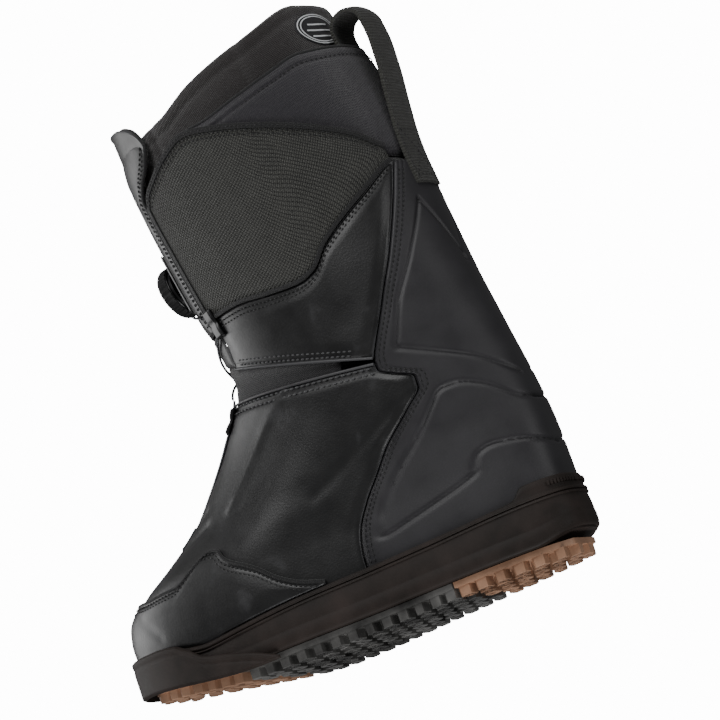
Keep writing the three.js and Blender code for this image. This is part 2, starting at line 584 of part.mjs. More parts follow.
// ---- lace and guides ------------------------------------------------------
const LACE_OUT = OVERLAY_IN + LACE_DIA / 2;
const LACE_STEPS = 38;
const route = (list) => new THREE.CatmullRomCurve3(
  list.map(([phi, z, up = 0]) => onSkin(phi, z, LACE_OUT + up)), false, 'centripetal');
const otherSide = (list) => list.map(([phi, z, up]) => [360 - phi, z, up]);

function tube(line, radius, steps) {
  const sides = 6, points = [], faces = [];
  const { normals, binormals } = line.computeFrenetFrames(steps, false);
  for (let j = 0; j <= steps; j += 1) {
    const centre = line.getPointAt(j / steps);
    for (let i = 0; i < sides; i += 1) {
      const a = (i / sides) * 2 * Math.PI;
      points.push(centre.clone().addScaledVector(normals[j], radius * Math.cos(a))
        .addScaledVector(binormals[j], radius * Math.sin(a)));
    }
  }
  for (let j = 0; j < steps; j += 1) {
    for (let i = 0; i < sides; i += 1) {
      const k = (i + 1) % sides, a = j * sides, b = a + sides;
      faces.push([a + i, a + k, b + k, b + i]);
    }
  }
  const end = steps * sides;
  for (let i = 1; i + 1 < sides; i += 1) {
    faces.push([0, i + 1, i], [end, end + i, end + i + 1]);
  }
  return closedMesh(points, faces);
}

const CUFF_TURN = [[143.2, 212, 0.4], [139.5, 210.5, 0.4], [137.3, 207.5, 0.4], [137, 203.5, 0.4],
  [138.5, 200, 0.4], [142, 197.5, 0.4]];
const THROAT_RUN = [[157.2, 162, 1], [156.2, 157, 0.4], [155.2, 150, 0.4], [155, 144, 0.4],
  [157, 134, 0.6], [161.5, 122, 1.2], [168, 109, 1.8], [173, 101, 1], [177, 97.5, 0.4]];
const LACE_BOTTOM = [...THROAT_RUN, [180, 96.8, 0.4], ...otherSide(THROAT_RUN).reverse()];

function guide(name, [phi0, phi1], [z0, z1], line, mirror) {
  const from = mirror ? 360 - phi1 : phi0, to = mirror ? 360 - phi0 : phi1;
  const block = panel({ from: fixed(from), to: fixed(to), bottom: fixed(z0), top: fixed(z1),
    outer: LACE_OUT + LACE_DIA / 2 + 1.5, inner: OVERLAY_IN, rows: even(4) });
  const cut = toManifold(tube(line, LACE_DIA / 2 + RUN, LACE_STEPS));
  add(name, fromManifold(toManifold(block).subtract(cut)), PLASTIC);
}

function buildLace() {
  const start = [[168, 221.4, 0.6], [163, 220, 1], [156, 217, 0.8], [150, 214.6, 0.4], [145.6, 212.8, 0.4]];
  const cross = (lift) => [...CUFF_TURN, [152, 191, 1 + lift], [166, 183, 1.2 + lift],
    [180, 177, 1.4 + lift], [192, 171, 1.2 + lift], [200, 166, 1 + lift * 0.5], [202.6, 163, 0.6]];
  for (const [side, flip, lift] of [['medial', false, 0], ['lateral', true, 2.4]]) {
    const turn = (list) => (flip ? otherSide(list) : list);
    add(`lace_upper_${side}`, tube(route(turn(start)), LACE_DIA / 2, 10), STEEL);
    add(`lace_cross_${side}`, tube(route(turn(cross(lift))), LACE_DIA / 2, 30), STEEL);
    const cuffLine = [[146, 213, 0.4], ...CUFF_TURN, [146, 195.5, 0.4]];
    guide(`guide_cuff_${side}`, [133.5, 140.6], [196, 214], route(turn(cuffLine)), flip);
    guide(`guide_vamp_${side}`, [152.2, 156], [144, 157], route(turn(THROAT_RUN)), flip);
  }
  add('lace_lower', tube(route(LACE_BOTTOM), LACE_DIA / 2, LACE_STEPS), STEEL);
  guide('guide_toe', [172.6, 187.4], [92, 102], route(LACE_BOTTOM), false);
}

// ---- liner ----------------------------------------------------------------
const LINER_SOLE = BOARD_TOP + STACK;
const HEEL_ROOM = 3.6;         // liner set back behind the inner leg of the loop

function buildLiner() {
  const wall = (t, off, low) => ring((phi) => {
    const bottom = low + rise(skinPoint(phi, 24).y);
    const p = onSkin(phi, lerp(bottom, lowerRim(phi), t), off);
    if (t === 0) p.z = low + rise(p.y);
    return p;
  });
  const outer = LINER_ROWS.map((t) => wall(t, LINER_OUT, LINER_SOLE));
  const inner = LINER_ROWS.map((t) => wall(t, LINER_IN, LINER_SOLE + LINER_THICK)).reverse();
  add('liner_foot', rings([...outer, ...inner], false), LINER_FELT);
  const bed = (z) => soleRing(LINER_IN - SEAT, (_, y) => z + rise(y), 32);
  const floor = LINER_SOLE + LINER_THICK + STACK;
  add('footbed', rings([bed(floor), bed(floor + 3.5)], false), FOAM);
  const setBack = (phi, z) => HEEL_ROOM * smooth(262, 280, z) * smooth(40, 16, fold(phi));
  const upper = (spec, out, thick) => panel({ ...spec, outer: (phi, z) => out - setBack(phi, z),
    inner: (phi, z) => out - thick - setBack(phi, z) });
  add('liner_cuff', upper({ from: fixed(-147), to: fixed(147), bottom: liningRim, top: linerTop,
    rows: even(9) }, LINER_OUT, LINER_THICK), LINER_FELT);
  add('liner_tongue', upper({ from: fixed(149), to: fixed(211), bottom: fixed(206),
    top: (phi) => linerTop(phi) + 6, rows: even(9) }, LINER_OUT, LINER_THICK), LINER_FELT);
  add('liner_patch', upper({ from: fixed(15), to: fixed(33), bottom: fixed(334), top: fixed(350),
    rows: even(3) }, LINER_OUT + 1, 0.6), KNIT);
}

buildSole();
buildLowerShell();
buildCuff();
buildPullLoop();
buildTongue();
buildReel();
buildLace();
buildLiner();

export default boot;
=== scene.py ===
"""Snowboard boot: the looks built round the packed CAD part, laid out as an add-on."""

import math

import bmesh
import bpy
import numpy as np
from mathutils import Matrix, Vector


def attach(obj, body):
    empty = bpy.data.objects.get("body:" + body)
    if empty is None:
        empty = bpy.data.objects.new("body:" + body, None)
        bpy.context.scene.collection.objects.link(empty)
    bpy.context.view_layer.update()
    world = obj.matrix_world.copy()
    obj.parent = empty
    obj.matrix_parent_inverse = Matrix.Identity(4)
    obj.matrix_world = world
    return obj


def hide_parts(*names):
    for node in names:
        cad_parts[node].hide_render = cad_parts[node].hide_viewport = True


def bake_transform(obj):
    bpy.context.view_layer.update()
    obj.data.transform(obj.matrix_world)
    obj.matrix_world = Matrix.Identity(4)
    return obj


bl_info = {
    "name": "Snowboard Boot Builder",
    "version": (1, 0, 0),
    "blender": (4, 5, 0),
    "location": "3D View > Sidebar > Boot",
    "description": "Builds the shell, sole, liner, tongue, reel and laces of a snowboard boot",
    "category": "Add Mesh",
}

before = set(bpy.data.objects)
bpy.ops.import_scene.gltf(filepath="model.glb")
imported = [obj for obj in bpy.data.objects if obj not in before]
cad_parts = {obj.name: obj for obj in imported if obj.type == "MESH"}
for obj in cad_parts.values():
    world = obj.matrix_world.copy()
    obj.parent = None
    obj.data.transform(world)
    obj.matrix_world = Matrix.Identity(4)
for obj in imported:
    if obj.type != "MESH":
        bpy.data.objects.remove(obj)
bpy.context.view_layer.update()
MM = 0.001

# ---- skin of the boot in millimetres: angle 0 heel, 90 medial, 180 toe --------------------
BACK = [(14, 150), (45, 150), (80, 149.5), (105, 147), (140, 141.5), (180, 134.5), (230, 128),
        (260, 124.5), (320, 115), (366, 107)]
FRONT = [(14, -141), (45, -147), (58, -145), (72, -133), (84, -112), (98, -90), (115, -72),
         (138, -53), (165, -35), (185, -34), (210, -39), (240, -45), (280, -52), (320, -57),
         (366, -60)]
HALF = [(14, 47), (45, 51), (70, 49.5), (95, 46), (130, 45), (165, 47), (200, 51), (250, 55),
        (300, 58), (366, 60)]
MEDIAL = [(0, 0.78), (0.18, 0.8), (0.38, 0.8), (0.68, 1.05), (0.85, 1.04), (1, 0.95)]
LATERAL = [(0, 0.78), (0.18, 0.82), (0.4, 0.9), (0.62, 1.08), (0.85, 1.02), (1, 0.9)]
SHAFT_FROM, SHAFT_TO, TOE_INWARD, TOE_RISE = 60, 150, 7, 13
HINGE_Y, LOWER_RIM, LOWER_SLOPE = 78, 141.5, 0.165
CUFF_RIM, CUFF_SLOPE, REAR_SPLIT = 144, 0.34, 142.3
CUPSOLE_BASE, CUPSOLE_FLOOR, BOARD_TOP = 9.5, 13.3, 21.7
FLAP_EDGE, TONGUE_EDGE, TONGUE_FOLD = 141, 142.6, 200.5

# layer offsets from the skin
PANEL_OUT, PANEL_THICK, LINING_OUT, LINING_IN = 0.3, 1.8, -2.6, -5.2
OVERLAY_IN, OVERLAY_OUT, LINER_OUT, LINER_THICK = 1.1, 2.9, -6.0, 6.0

LIP = [(-152, 41), (-110, 37), (-78, 31), (-55, 32), (0, 35), (70, 36), (116, 38), (124, 39),
       (131, 45), (150, 46)]
BEAD = [(-152, 41), (-110, 37), (-78, 31), (-55, 32), (0, 35), (70, 36), (116, 38), (150, 39)]
PANEL_TOP = [(0, 258), (18, 260), (34, 273), (56, 288), (70, 297), (86, 306), (100, 311),
             (112, 306), (125, 298), (135, 292), (141, 285), (180, 285)]
PANEL_BOTTOM = [(0, 254), (20, 251), (43, 236), (68, 216), (78, 204), (86, 201), (100, 203),
                (117, 207), (141, 208)]
COLLAR_TOP = [(0, 329), (10, 329), (38, 329), (56, 323), (73, 317), (92, 312), (104, 312)]
LINER_TOP = [(0, 364), (20, 364), (60, 350), (91, 338), (112, 328), (150, 324), (180, 324)]
THROAT_TOP = [(0, 999), (152, 999), (156, 160), (158, 156), (161, 128), (165, 114), (171, 109),
              (180, 107)]
THROAT_SIDE = [(108, 170.5), (114, 166.6), (128, 162.6), (156, 159.6), (165, 158.5)]
BACKSTAY = [(13, 80), (53, 78), (74, 75), (93, 72), (110, 63), (120, 57), (126, 57), (132, 64),
            (137, 69.5), (142, 70), (151, 68), (174, 58), (198, 45), (228, 30), (247, 21),
            (260, 15)]
TOE_CAP_TOP = [(89, 37.5), (94, 42), (98, 48), (104, 60), (113, 70), (120, 78), (124, 79),
               (127, 74), (131, 68), (145, 68), (160, 69.5), (180, 70)]
TONGUE_TOP = [(121, 314), (124, 324), (130, 332), (140, 337), (160, 339), (180, 339)]
TONGUE_WING = [(184, 142.6), (290, 142.6), (298, 136), (307, 126), (318, 122), (345, 122)]
# channels pressed into the backstay, as angle and height
CHANNELS = [
    [(16, 224), (24, 211), (38, 190), (52, 169), (59, 150), (60, 145), (57, 142.5), (46, 135),
     (31, 125.5), (16, 115), (6, 109)],
    [(16, 224), (11, 214), (5, 200), (-1, 184)],
    [(-4, 94), (6, 94), (16, 96), (24, 102), (30, 107), (38, 112), (44, 114), (50, 113), (54, 107),
     (57, 101), (65, 84), (69, 70), (73, 52), (72, 48), (66, 50), (45, 60), (43, 65), (41, 71),
     (36, 73.5), (26, 72), (14, 69), (0, 66)],
]
# folds of the vamp: line, height of the fold, its width
FOLDS = [
    ([(110, 149), (116, 140), (121, 128), (125, 114), (128, 100)], 1.1, 3.6),
    ([(128, 100), (124, 97), (119, 98), (112, 101)], -0.5, 4.0),
    ([(65, 114), (70, 110), (76, 105), (84, 96), (92, 84)], -0.4, 3.5),
    ([(140, 96), (146, 92), (156, 90)], -0.8, 3.0),
    ([(150, 106), (153, 103), (160, 101)], -0.8, 2.6),
]


def curve(x, pts):
    """Smooth curve through the points that never overshoots them."""
    xs, ys = np.array(pts, float).T
    x = np.clip(np.asarray(x, float), xs[0], xs[-1])
    h, d = np.diff(xs), np.diff(ys) / np.diff(xs)
    same = d[:-1] * d[1:] > 0
    mid = np.where(same, 2 * d[:-1] * d[1:] / np.where(same, d[:-1] + d[1:], 1), 0)
    m = np.concatenate([[d[0]], mid, [d[-1]]])
    i = np.clip(np.searchsorted(xs, x, side="right") - 1, 0, len(xs) - 2)
    t = (x - xs[i]) / h[i]
    a, b, c = t * t * (2 * t - 3) + 1, t * (t - 1) ** 2, t * t * (t - 1)
    return a * ys[i] + b * h[i] * m[i] + (1 - a) * ys[i + 1] + c * h[i] * m[i + 1]


def smooth(a, b, x):
    t = np.clip((np.asarray(x, float) - a) / (b - a), 0, 1)
    return t * t * (3 - 2 * t)


def fold(phi):
    p = np.mod(phi, 360.0)
    return np.where(p > 180, 360 - p, p)


def rise(y):
    return TOE_RISE * smooth(-40, -152, y)


def skin_point(phi, z):
    a = np.radians(phi)
    s, f = np.sin(a), (1 - np.cos(a)) / 2
    back, front = curve(z, BACK), curve(z, FRONT)
    foot = 1 - smooth(SHAFT_FROM, SHAFT_TO, z)
    k = foot * np.where(s >= 0, curve(f, MEDIAL), curve(f, LATERAL)) + 1 - foot
    x = curve(z, HALF) * k * np.sign(s) * np.abs(s) ** (0.64 + 0.3 * (1 - foot))
    return np.stack([x + foot * TOE_INWARD * f * f, back + (front - back) * f, z], -1)


def skin_normal(phi, z):
    du = skin_point(phi + 0.5, z) - skin_point(phi - 0.5, z)
    dv = skin_point(phi, z + 0.5) - skin_point(phi, z - 0.5)
    n = np.cross(dv, du)
    return n / np.linalg.norm(n, axis=-1, keepdims=True)


def skin(phi, z, off=0.0):
    """Points of the skin moved out by off along its normal."""
    phi, z, off = np.broadcast_arrays(*(np.asarray(v, float) for v in (phi, z, off)))
    return skin_point(phi, z) + skin_normal(phi, z) * off[..., None]


def height_at(phi, start, rule):
    z = np.full_like(np.asarray(phi, float), start)
    for _ in range(6):
        z = rule(skin(phi, z)[..., 1])
    return z


def lower_rim(phi):
    return height_at(phi, 150.0, lambda y: LOWER_RIM + np.maximum(0, HINGE_Y - y) * LOWER_SLOPE)


def cuff_rim(phi):
    def rule(y):
        behind = REAR_SPLIT + (CUFF_RIM - REAR_SPLIT) * smooth(HINGE_Y + 14, HINGE_Y, y)
        return np.where(y > HINGE_Y, behind, CUFF_RIM + (HINGE_Y - y) * CUFF_SLOPE)
    return height_at(phi, 160.0, rule)


def lining_rim(phi):
    return cuff_rim(phi) + height_at(phi, 165.0, lambda y: np.maximum(0, HINGE_Y - y) * 0.17
                                     + 4.8 * smooth(HINGE_Y, HINGE_Y - 16, y))


def sole_line(phi):
    return CUPSOLE_FLOOR + 0.4 + rise(skin(phi, 20.0)[..., 1])


def along(table):
    return lambda phi: curve(fold(phi), table)


def fixed(value):
    return lambda x: np.full_like(np.asarray(x, float), value)


def lip_line(phi):
    return curve(skin(phi, 30.0)[..., 1], LIP)


# ---- meshes -------------------------------------------------------------------------------
def mesh_object(name, points, faces, uv=None, values=None, flat=50):
    """Closed mesh from millimetre points and face arrays, turned to face outwards."""
    points = np.asarray(points, float)
    faces = [np.asarray(f, int) for f in faces if len(f)]
    volume = 0.0
    for f in faces:
        a = points[f[:, 0]]
        for k in range(1, f.shape[1] - 1):
            volume += np.einsum("ij,ij->", a, np.cross(points[f[:, k]], points[f[:, k + 1]]))
    if volume < 0:
        faces = [f[:, ::-1] for f in faces]
    loops = np.concatenate([f.ravel() for f in faces])
    sizes = np.concatenate([np.full(len(f), f.shape[1]) for f in faces])
    mesh = bpy.data.meshes.new(name)
    mesh.vertices.add(len(points))
    mesh.vertices.foreach_set("co", (points * MM).astype(np.float32).ravel())
    mesh.loops.add(len(loops))
    mesh.loops.foreach_set("vertex_index", loops.astype(np.int32))
    mesh.polygons.add(len(sizes))
    starts = np.concatenate([[0], np.cumsum(sizes)[:-1]])
    mesh.polygons.foreach_set("loop_start", starts.astype(np.int32))
    mesh.update(calc_edges=True)
    if uv is not None:
        layer = mesh.uv_layers.new(name="Cloth")
        layer.data.foreach_set("uv", np.asarray(uv, np.float32)[loops].ravel())
    if values is not None:
        attribute = mesh.attributes.new("Edge", "FLOAT", "POINT")
        attribute.data.foreach_set("value", np.asarray(values, np.float32).ravel())
    mesh.shade_smooth()
    mesh.set_sharp_from_angle(angle=math.radians(flat))
    obj = bpy.data.objects.new(name, mesh)
    bpy.context.scene.collection.objects.link(obj)
    return obj


def finish_piece(obj, material, body, nodes=()):
    """Gives a piece its material, slot, body, the CAD nodes that it stands for and its filling."""
    obj.data.materials.clear()
    obj.data.materials.append(material)
    if isinstance(body, str):
        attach(obj, body)
    else:
        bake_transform(obj)
    if nodes:
        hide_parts(*nodes)
    return obj


class Patch:
    """Grid over the skin between two angle edges and two height edges, with edge distances."""

    def __init__(self, left, right, bottom, top, step=1.6):
        probe = np.array([90.0])
        middle = float(0.5 * (bottom(probe) + top(probe))[0])
        a, b = float(left(middle)), float(right(middle))
        p = np.linspace(a, b, 60)
        low, high = bottom(p), top(p)
        ring = skin(p, (low + high) / 2)
        wide = np.linalg.norm(np.diff(ring, axis=0), axis=1).sum()
        nu = max(4, int(wide / step) + 1)
        nv = max(4, int((high - low).max() * 1.1 / step) + 1)
        t = np.linspace(0, 1, nv)

        def edge(rule, start):
            phi = np.full(nv, start)
            for _ in range(40):
                phi = 0.5 * (phi + rule(bottom(phi) + (top(phi) - bottom(phi)) * t))
            return phi

        ea, eb = edge(left, a), edge(right, b)
        self.phi = ea[:, None] + (eb - ea)[:, None] * np.linspace(0, 1, nu)
        low, high = bottom(self.phi), top(self.phi)
        self.z = low + (high - low) * t[:, None]
        self.point = skin(self.phi, self.z)
        u = np.linalg.norm(np.diff(self.point, axis=1), axis=2)
        v = np.linalg.norm(np.diff(self.point, axis=0), axis=2)
        self.left = np.concatenate([np.zeros((nv, 1)), np.cumsum(u, 1)], 1)
        self.right = self.left[:, -1:] - self.left
        self.bottom = np.concatenate([np.zeros((1, nu)), np.cumsum(v, 0)], 0)
        self.top = self.bottom[-1:] - self.bottom
        self.edge = np.minimum.reduce([self.left, self.right, self.bottom, self.top])

    def inset(self, side, gap, off, trim=(0, 0)):
        """Points and normals of the line that runs gap inside one edge."""
        phi, z, dist = self.phi, self.z, getattr(self, side)
        if side in ("left", "right"):
            phi, z, dist, walk = phi.T, z.T, dist.T, self.bottom[:, 0]
        else:
            walk = self.left[0]
        if side in ("right", "top"):
            phi, z, dist = phi[::-1], z[::-1], dist[::-1]
        ok = (dist[-1] > gap * 1.5) & (walk >= trim[0]) & (walk <= walk[-1] - trim[1])
        cols = np.where(ok)[0]
        p = np.array([np.interp(gap, dist[:, k], phi[:, k]) for k in cols])
        q = np.array([np.interp(gap, dist[:, k], z[:, k]) for k in cols])
        return skin(p, q, off), skin_normal(p, q)


def grid_faces(nv, nu, base=0, wrap=False):
    i, j = np.meshgrid(np.arange(nu if wrap else nu - 1), np.arange(nv - 1))
    k = (i + 1) % nu
    quads = np.stack([j * nu + i, (j + 1) * nu + i, (j + 1) * nu + k, j * nu + k], -1)
    return quads.reshape(-1, 4) + base


def border(nv, nu):
    """Indices round the edge of a grid, in order."""
    low = [(0, i) for i in range(nu - 1)] + [(j, nu - 1) for j in range(nv - 1)]
    high = [(nv - 1, i) for i in range(nu - 1, 0, -1)] + [(j, 0) for j in range(nv - 1, 0, -1)]
    return np.array([j * nu + i for j, i in low + high])


def shell(name, patch, out, thick, edge=1.0, detail=0.0, inner_detail=0.0):
    """Panel with rounded edges: outer grid, inner grid and the wall between them."""
    nv, nu = patch.phi.shape
    short = 1 - np.clip(patch.edge / edge, 0, 1)
    round_off = edge * (1 - np.sqrt(np.clip(1 - short * short, 0, 1)))
    outer = skin(patch.phi, patch.z, out - round_off + detail)
    back = np.minimum(round_off, thick * 0.45)
    inner = skin(patch.phi, patch.z, out - thick + back + inner_detail)
    points = np.concatenate([outer.reshape(-1, 3), inner.reshape(-1, 3)])
    n, rim = nv * nu, border(nv, nu)
    nxt = np.roll(rim, -1)
    wall = np.stack([rim, nxt, nxt + n, rim + n], -1)
    inner_faces = grid_faces(nv, nu, n)[:, ::-1]
    middle = patch.left[:, nu // 2][:, None]
    uv = np.stack([patch.left - middle, patch.bottom], -1).reshape(-1, 2)
    return mesh_object(name, points, [grid_faces(nv, nu), inner_faces, wall],
                       np.concatenate([uv, uv]), np.tile(patch.edge.ravel(), 2))


def ring_shell(name, bottom, top, out, thick, step=3.0, floor=None):
    """Wall all round the boot, with a floor when the heights of its faces are given."""
    nu, nv = 240, int(100 / step)
    phi = np.arange(nu) * 360.0 / nu
    low, high = bottom(phi), top(phi)
    t = np.linspace(0, 1, nv)[:, None]
    grid = low + (high - low) * t
    outer, inner = skin(phi, grid, out), skin(phi, grid, out - thick)
    if floor:
        for layer, level in ((outer, floor[0]), (inner, floor[1])):
            layer[0, :, 2] = level + rise(layer[0, :, 1])
            layer[1:, :, 2] = np.maximum(layer[1:, :, 2], layer[0, :, 2])
    points = np.concatenate([outer.reshape(-1, 3), inner.reshape(-1, 3)])
    n, k = nv * nu, np.arange(nu)
    nxt, last = (k + 1) % nu, (nv - 1) * nu
    faces = [grid_faces(nv, nu, 0, True), grid_faces(nv, nu, n, True)[:, ::-1],
             np.stack([last + k, n + last + k, n + last + nxt, last + nxt], -1)]
    if floor:
        cap = strip_cap(nu)
        faces += [f[:, ::-1] for f in cap] + [f + n for f in cap]
    else:
        faces.append(np.stack([k, nxt, n + nxt, n + k], -1))
    arc = np.cumsum(np.linalg.norm(np.roll(outer[nv // 2], -1, 0) - outer[nv // 2], axis=1))
    uv = np.stack(np.broadcast_arrays(arc[None], grid), -1).reshape(-1, 2)
    return mesh_object(name, points, faces, np.concatenate([uv, uv]))


def strip_cap(n):
    """Faces that close a symmetric ring of n points with strips across it."""
    i = np.arange(1, n // 2 - 1)
    quads = np.stack([i, i + 1, n - i - 1, n - i], -1)
    return [quads, np.array([[0, 1, n - 1]]), np.array([[n // 2 - 1, n // 2, n // 2 + 1]])]


def sweep(name, line, normal, profile, closed=False):
    """Profile of (side, up) pairs carried along a line with a surface normal at each point."""
    line, profile = np.asarray(line, float), np.asarray(profile, float)
    if closed:
        tangent = np.roll(line, -1, 0) - np.roll(line, 1, 0)
    else:
        tangent = np.gradient(line, axis=0)
    tangent /= np.linalg.norm(tangent, axis=1, keepdims=True)
    side = np.cross(tangent, normal)
    side /= np.linalg.norm(side, axis=1, keepdims=True)
    up = np.cross(side, tangent)
    rows = line[:, None] + side[:, None] * profile[:, :1] + up[:, None] * profile[:, 1:]
    nv, nu = rows.shape[:2]
    faces = [grid_faces(nv, nu, 0, True)]
    if closed:
        k = np.arange(nu)
        faces.append(np.stack([(nv - 1) * nu + k, k, (k + 1) % nu, (nv - 1) * nu + (k + 1) % nu], -1))
    else:
        faces += [np.arange(nu)[None], (np.arange(nu) + (nv - 1) * nu)[None, ::-1]]
    walk = np.concatenate([[0], np.cumsum(np.linalg.norm(np.diff(line, axis=0), axis=1))])
    uv = np.stack(np.broadcast_arrays(profile[None, :, 0], walk[:, None]), -1).reshape(-1, 2)
    return mesh_object(name, rows.reshape(-1, 3), faces, uv)


def round_profile(radius, sides=10):
    a = np.arange(sides) * 2 * math.pi / sides
    return np.stack([radius * np.cos(a), radius * np.sin(a)], -1)


def band_profile(width, thick, corner=0.5, sides=3):
    """Flat strip with rounded corners, its back at height 0."""
    out = []
    corners = [(1, 1, 0), (-1, 1, 90), (-1, 0, 180), (1, 0, 270)]
    for sx, top, start in corners:
        cx = sx * (width / 2 - corner)
        cy = thick - corner if top else corner
        for k in range(sides + 1):
            a = math.radians(start + 90 * k / sides)
            out.append((cx + corner * math.cos(a), cy + corner * math.sin(a)))
    return out


def resample(line, step):
    line = np.asarray(line, float)
    walk = np.concatenate([[0], np.cumsum(np.linalg.norm(np.diff(line, axis=0), axis=1))])
    n = max(2, int(round(walk[-1] / step)))
    at = np.linspace(0, walk[-1], n + 1)
    return np.stack([np.interp(at, walk, line[:, k]) for k in range(line.shape[1])], -1)


def dense(points, step):
    """Spline through angle-height(-offset) points, resampled on even steps."""
    p = np.array(points, float)
    n = len(p)
    idx = np.arange(n - 1)
    prev, after = p[np.maximum(idx - 1, 0)], p[np.minimum(idx + 2, n - 1)]
    a, b = p[:-1], p[1:]
    t = np.linspace(0, 1, 16, endpoint=False)[None, :, None]
    a, b, prev, after = (v[:, None] for v in (a, b, prev, after))
    m0, m1 = (b - prev) / 2, (after - a) / 2
    h = t * t * (2 * t - 3) + 1
    out = h * a + t * (t - 1) ** 2 * m0 + (1 - h) * b + t * t * (t - 1) * m1
    out = np.vstack([out.reshape(-1, p.shape[1]), p[-1:]])
    real = skin(out[:, 0], out[:, 1])
    walk = np.concatenate([[0], np.cumsum(np.linalg.norm(np.diff(real, axis=0), axis=1))])
    at = np.linspace(0, walk[-1], max(2, int(walk[-1] / step)) + 1)
    return np.stack([np.interp(at, walk, out[:, k]) for k in range(out.shape[1])], -1)


def mirror(line):
    """The same line on the lateral side."""
    return [(360 - p[0], *p[1:]) for p in line]


def near_line(points, line):
    """Distance from grid points to a line drawn on the skin."""
    d = dense(line, 2.0)
    q = skin(d[:, 0], d[:, 1])
    flat = points.reshape(-1, 3)
    best = np.full(len(flat), 1e9)
    for a, b in zip(q[:-1], q[1:]):
        ab = b - a
        t = np.clip(((flat - a) @ ab) / (ab @ ab), 0, 1)
        best = np.minimum(best, np.linalg.norm(flat - a - t[:, None] * ab, axis=1))
    return best.reshape(points.shape[:-1])


def pressed(points, line, depth, width):
    return depth * np.exp(-(near_line(points, line) / width) ** 2)


def join(name, pieces):
    """Joins pieces of one body and material into one object."""
    with bpy.context.temp_override(active_object=pieces[0], object=pieces[0],
                                   selected_objects=pieces, selected_editable_objects=pieces):
        bpy.ops.object.join()
    pieces[0].name = pieces[0].data.name = name
    return pieces[0]


# ---- materials ----------------------------------------------------------------------------
def linear(code):
    """sRGB hex to linear colour."""
    value = [int(code[k:k + 2], 16) / 255 for k in (1, 3, 5)]
    return [c / 12.92 if c <= 0.04045 else ((c + 0.055) / 1.055) ** 2.4 for c in value] + [1]


def node(tree, kind, inputs=None, **settings):
    """Adds a node, sets its properties, and sets or links its inputs."""
    n = tree.nodes.new(kind)
    for key, value in settings.items():
        setattr(n, key, value)
    for key, value in (inputs or {}).items():
        if isinstance(value, bpy.types.NodeSocket):
            tree.links.new(value, n.inputs[key])
        else:
            n.inputs[key].default_value = value
    return n


def start_material(name, **values):
    material = bpy.data.materials.new(name)
    material.use_nodes = True
    tree = material.node_tree
    bsdf = tree.nodes["Principled BSDF"]
    for key, value in values.items():
        bsdf.inputs[key.replace("_", " ")].default_value = value
    return material, tree, bsdf


def set_ramp(ramp, low, high):
    """Two stops of a colour ramp, each a position and an sRGB hex colour."""
    for stop, (position, code) in zip(ramp.color_ramp.elements, (low, high)):
        stop.position, stop.color = position, linear(code)


def repeats(mm):
    """Mapping scale that turns object metres into repeats of a pattern of this size."""
    return (1 / mm / MM,) * 3


def thread_grid(tree, across, along_mm, turn):
    """Plain weave: height of the thread on top, crossing in turn."""
    uv = node(tree, "ShaderNodeTexCoord").outputs["UV"]
    if turn:
        uv = node(tree, "ShaderNodeMapping",
                  {"Vector": uv, "Rotation": (0, 0, math.radians(turn))}).outputs[0]
    uv = node(tree, "ShaderNodeMapping",
              {"Vector": uv, "Scale": (1 / across, 1 / along_mm, 1.0)}).outputs[0]
    axis = node(tree, "ShaderNodeSeparateXYZ", {0: uv})
    threads = []
    for k in (0, 1):
        wave = node(tree, "ShaderNodeMath", {0: axis.outputs[k], 1: 0.5}, operation="PINGPONG")
        full = node(tree, "ShaderNodeMath", {0: wave.outputs[0], 1: 2.0}, operation="MULTIPLY")
        threads.append(node(tree, "ShaderNodeMath", {0: full.outputs[0], 1: 0.6},
                            operation="POWER").outputs[0])
    over = node(tree, "ShaderNodeTexChecker", {"Vector": uv, "Scale": 1.0}).outputs["Fac"]
    both = node(tree, "ShaderNodeMix", {0: over, 2: threads[0], 3: threads[1]}, data_type="FLOAT")
    low = node(tree, "ShaderNodeMath", {0: threads[0], 1: threads[1]}, operation="MINIMUM")
    lifted = node(tree, "ShaderNodeMath", {0: low.outputs[0], 1: 0.5}, operation="ADD")
    return node(tree, "ShaderNodeMath", {0: both.outputs[0], 1: lifted.outputs[0]},
                operation="MULTIPLY").outputs[0]


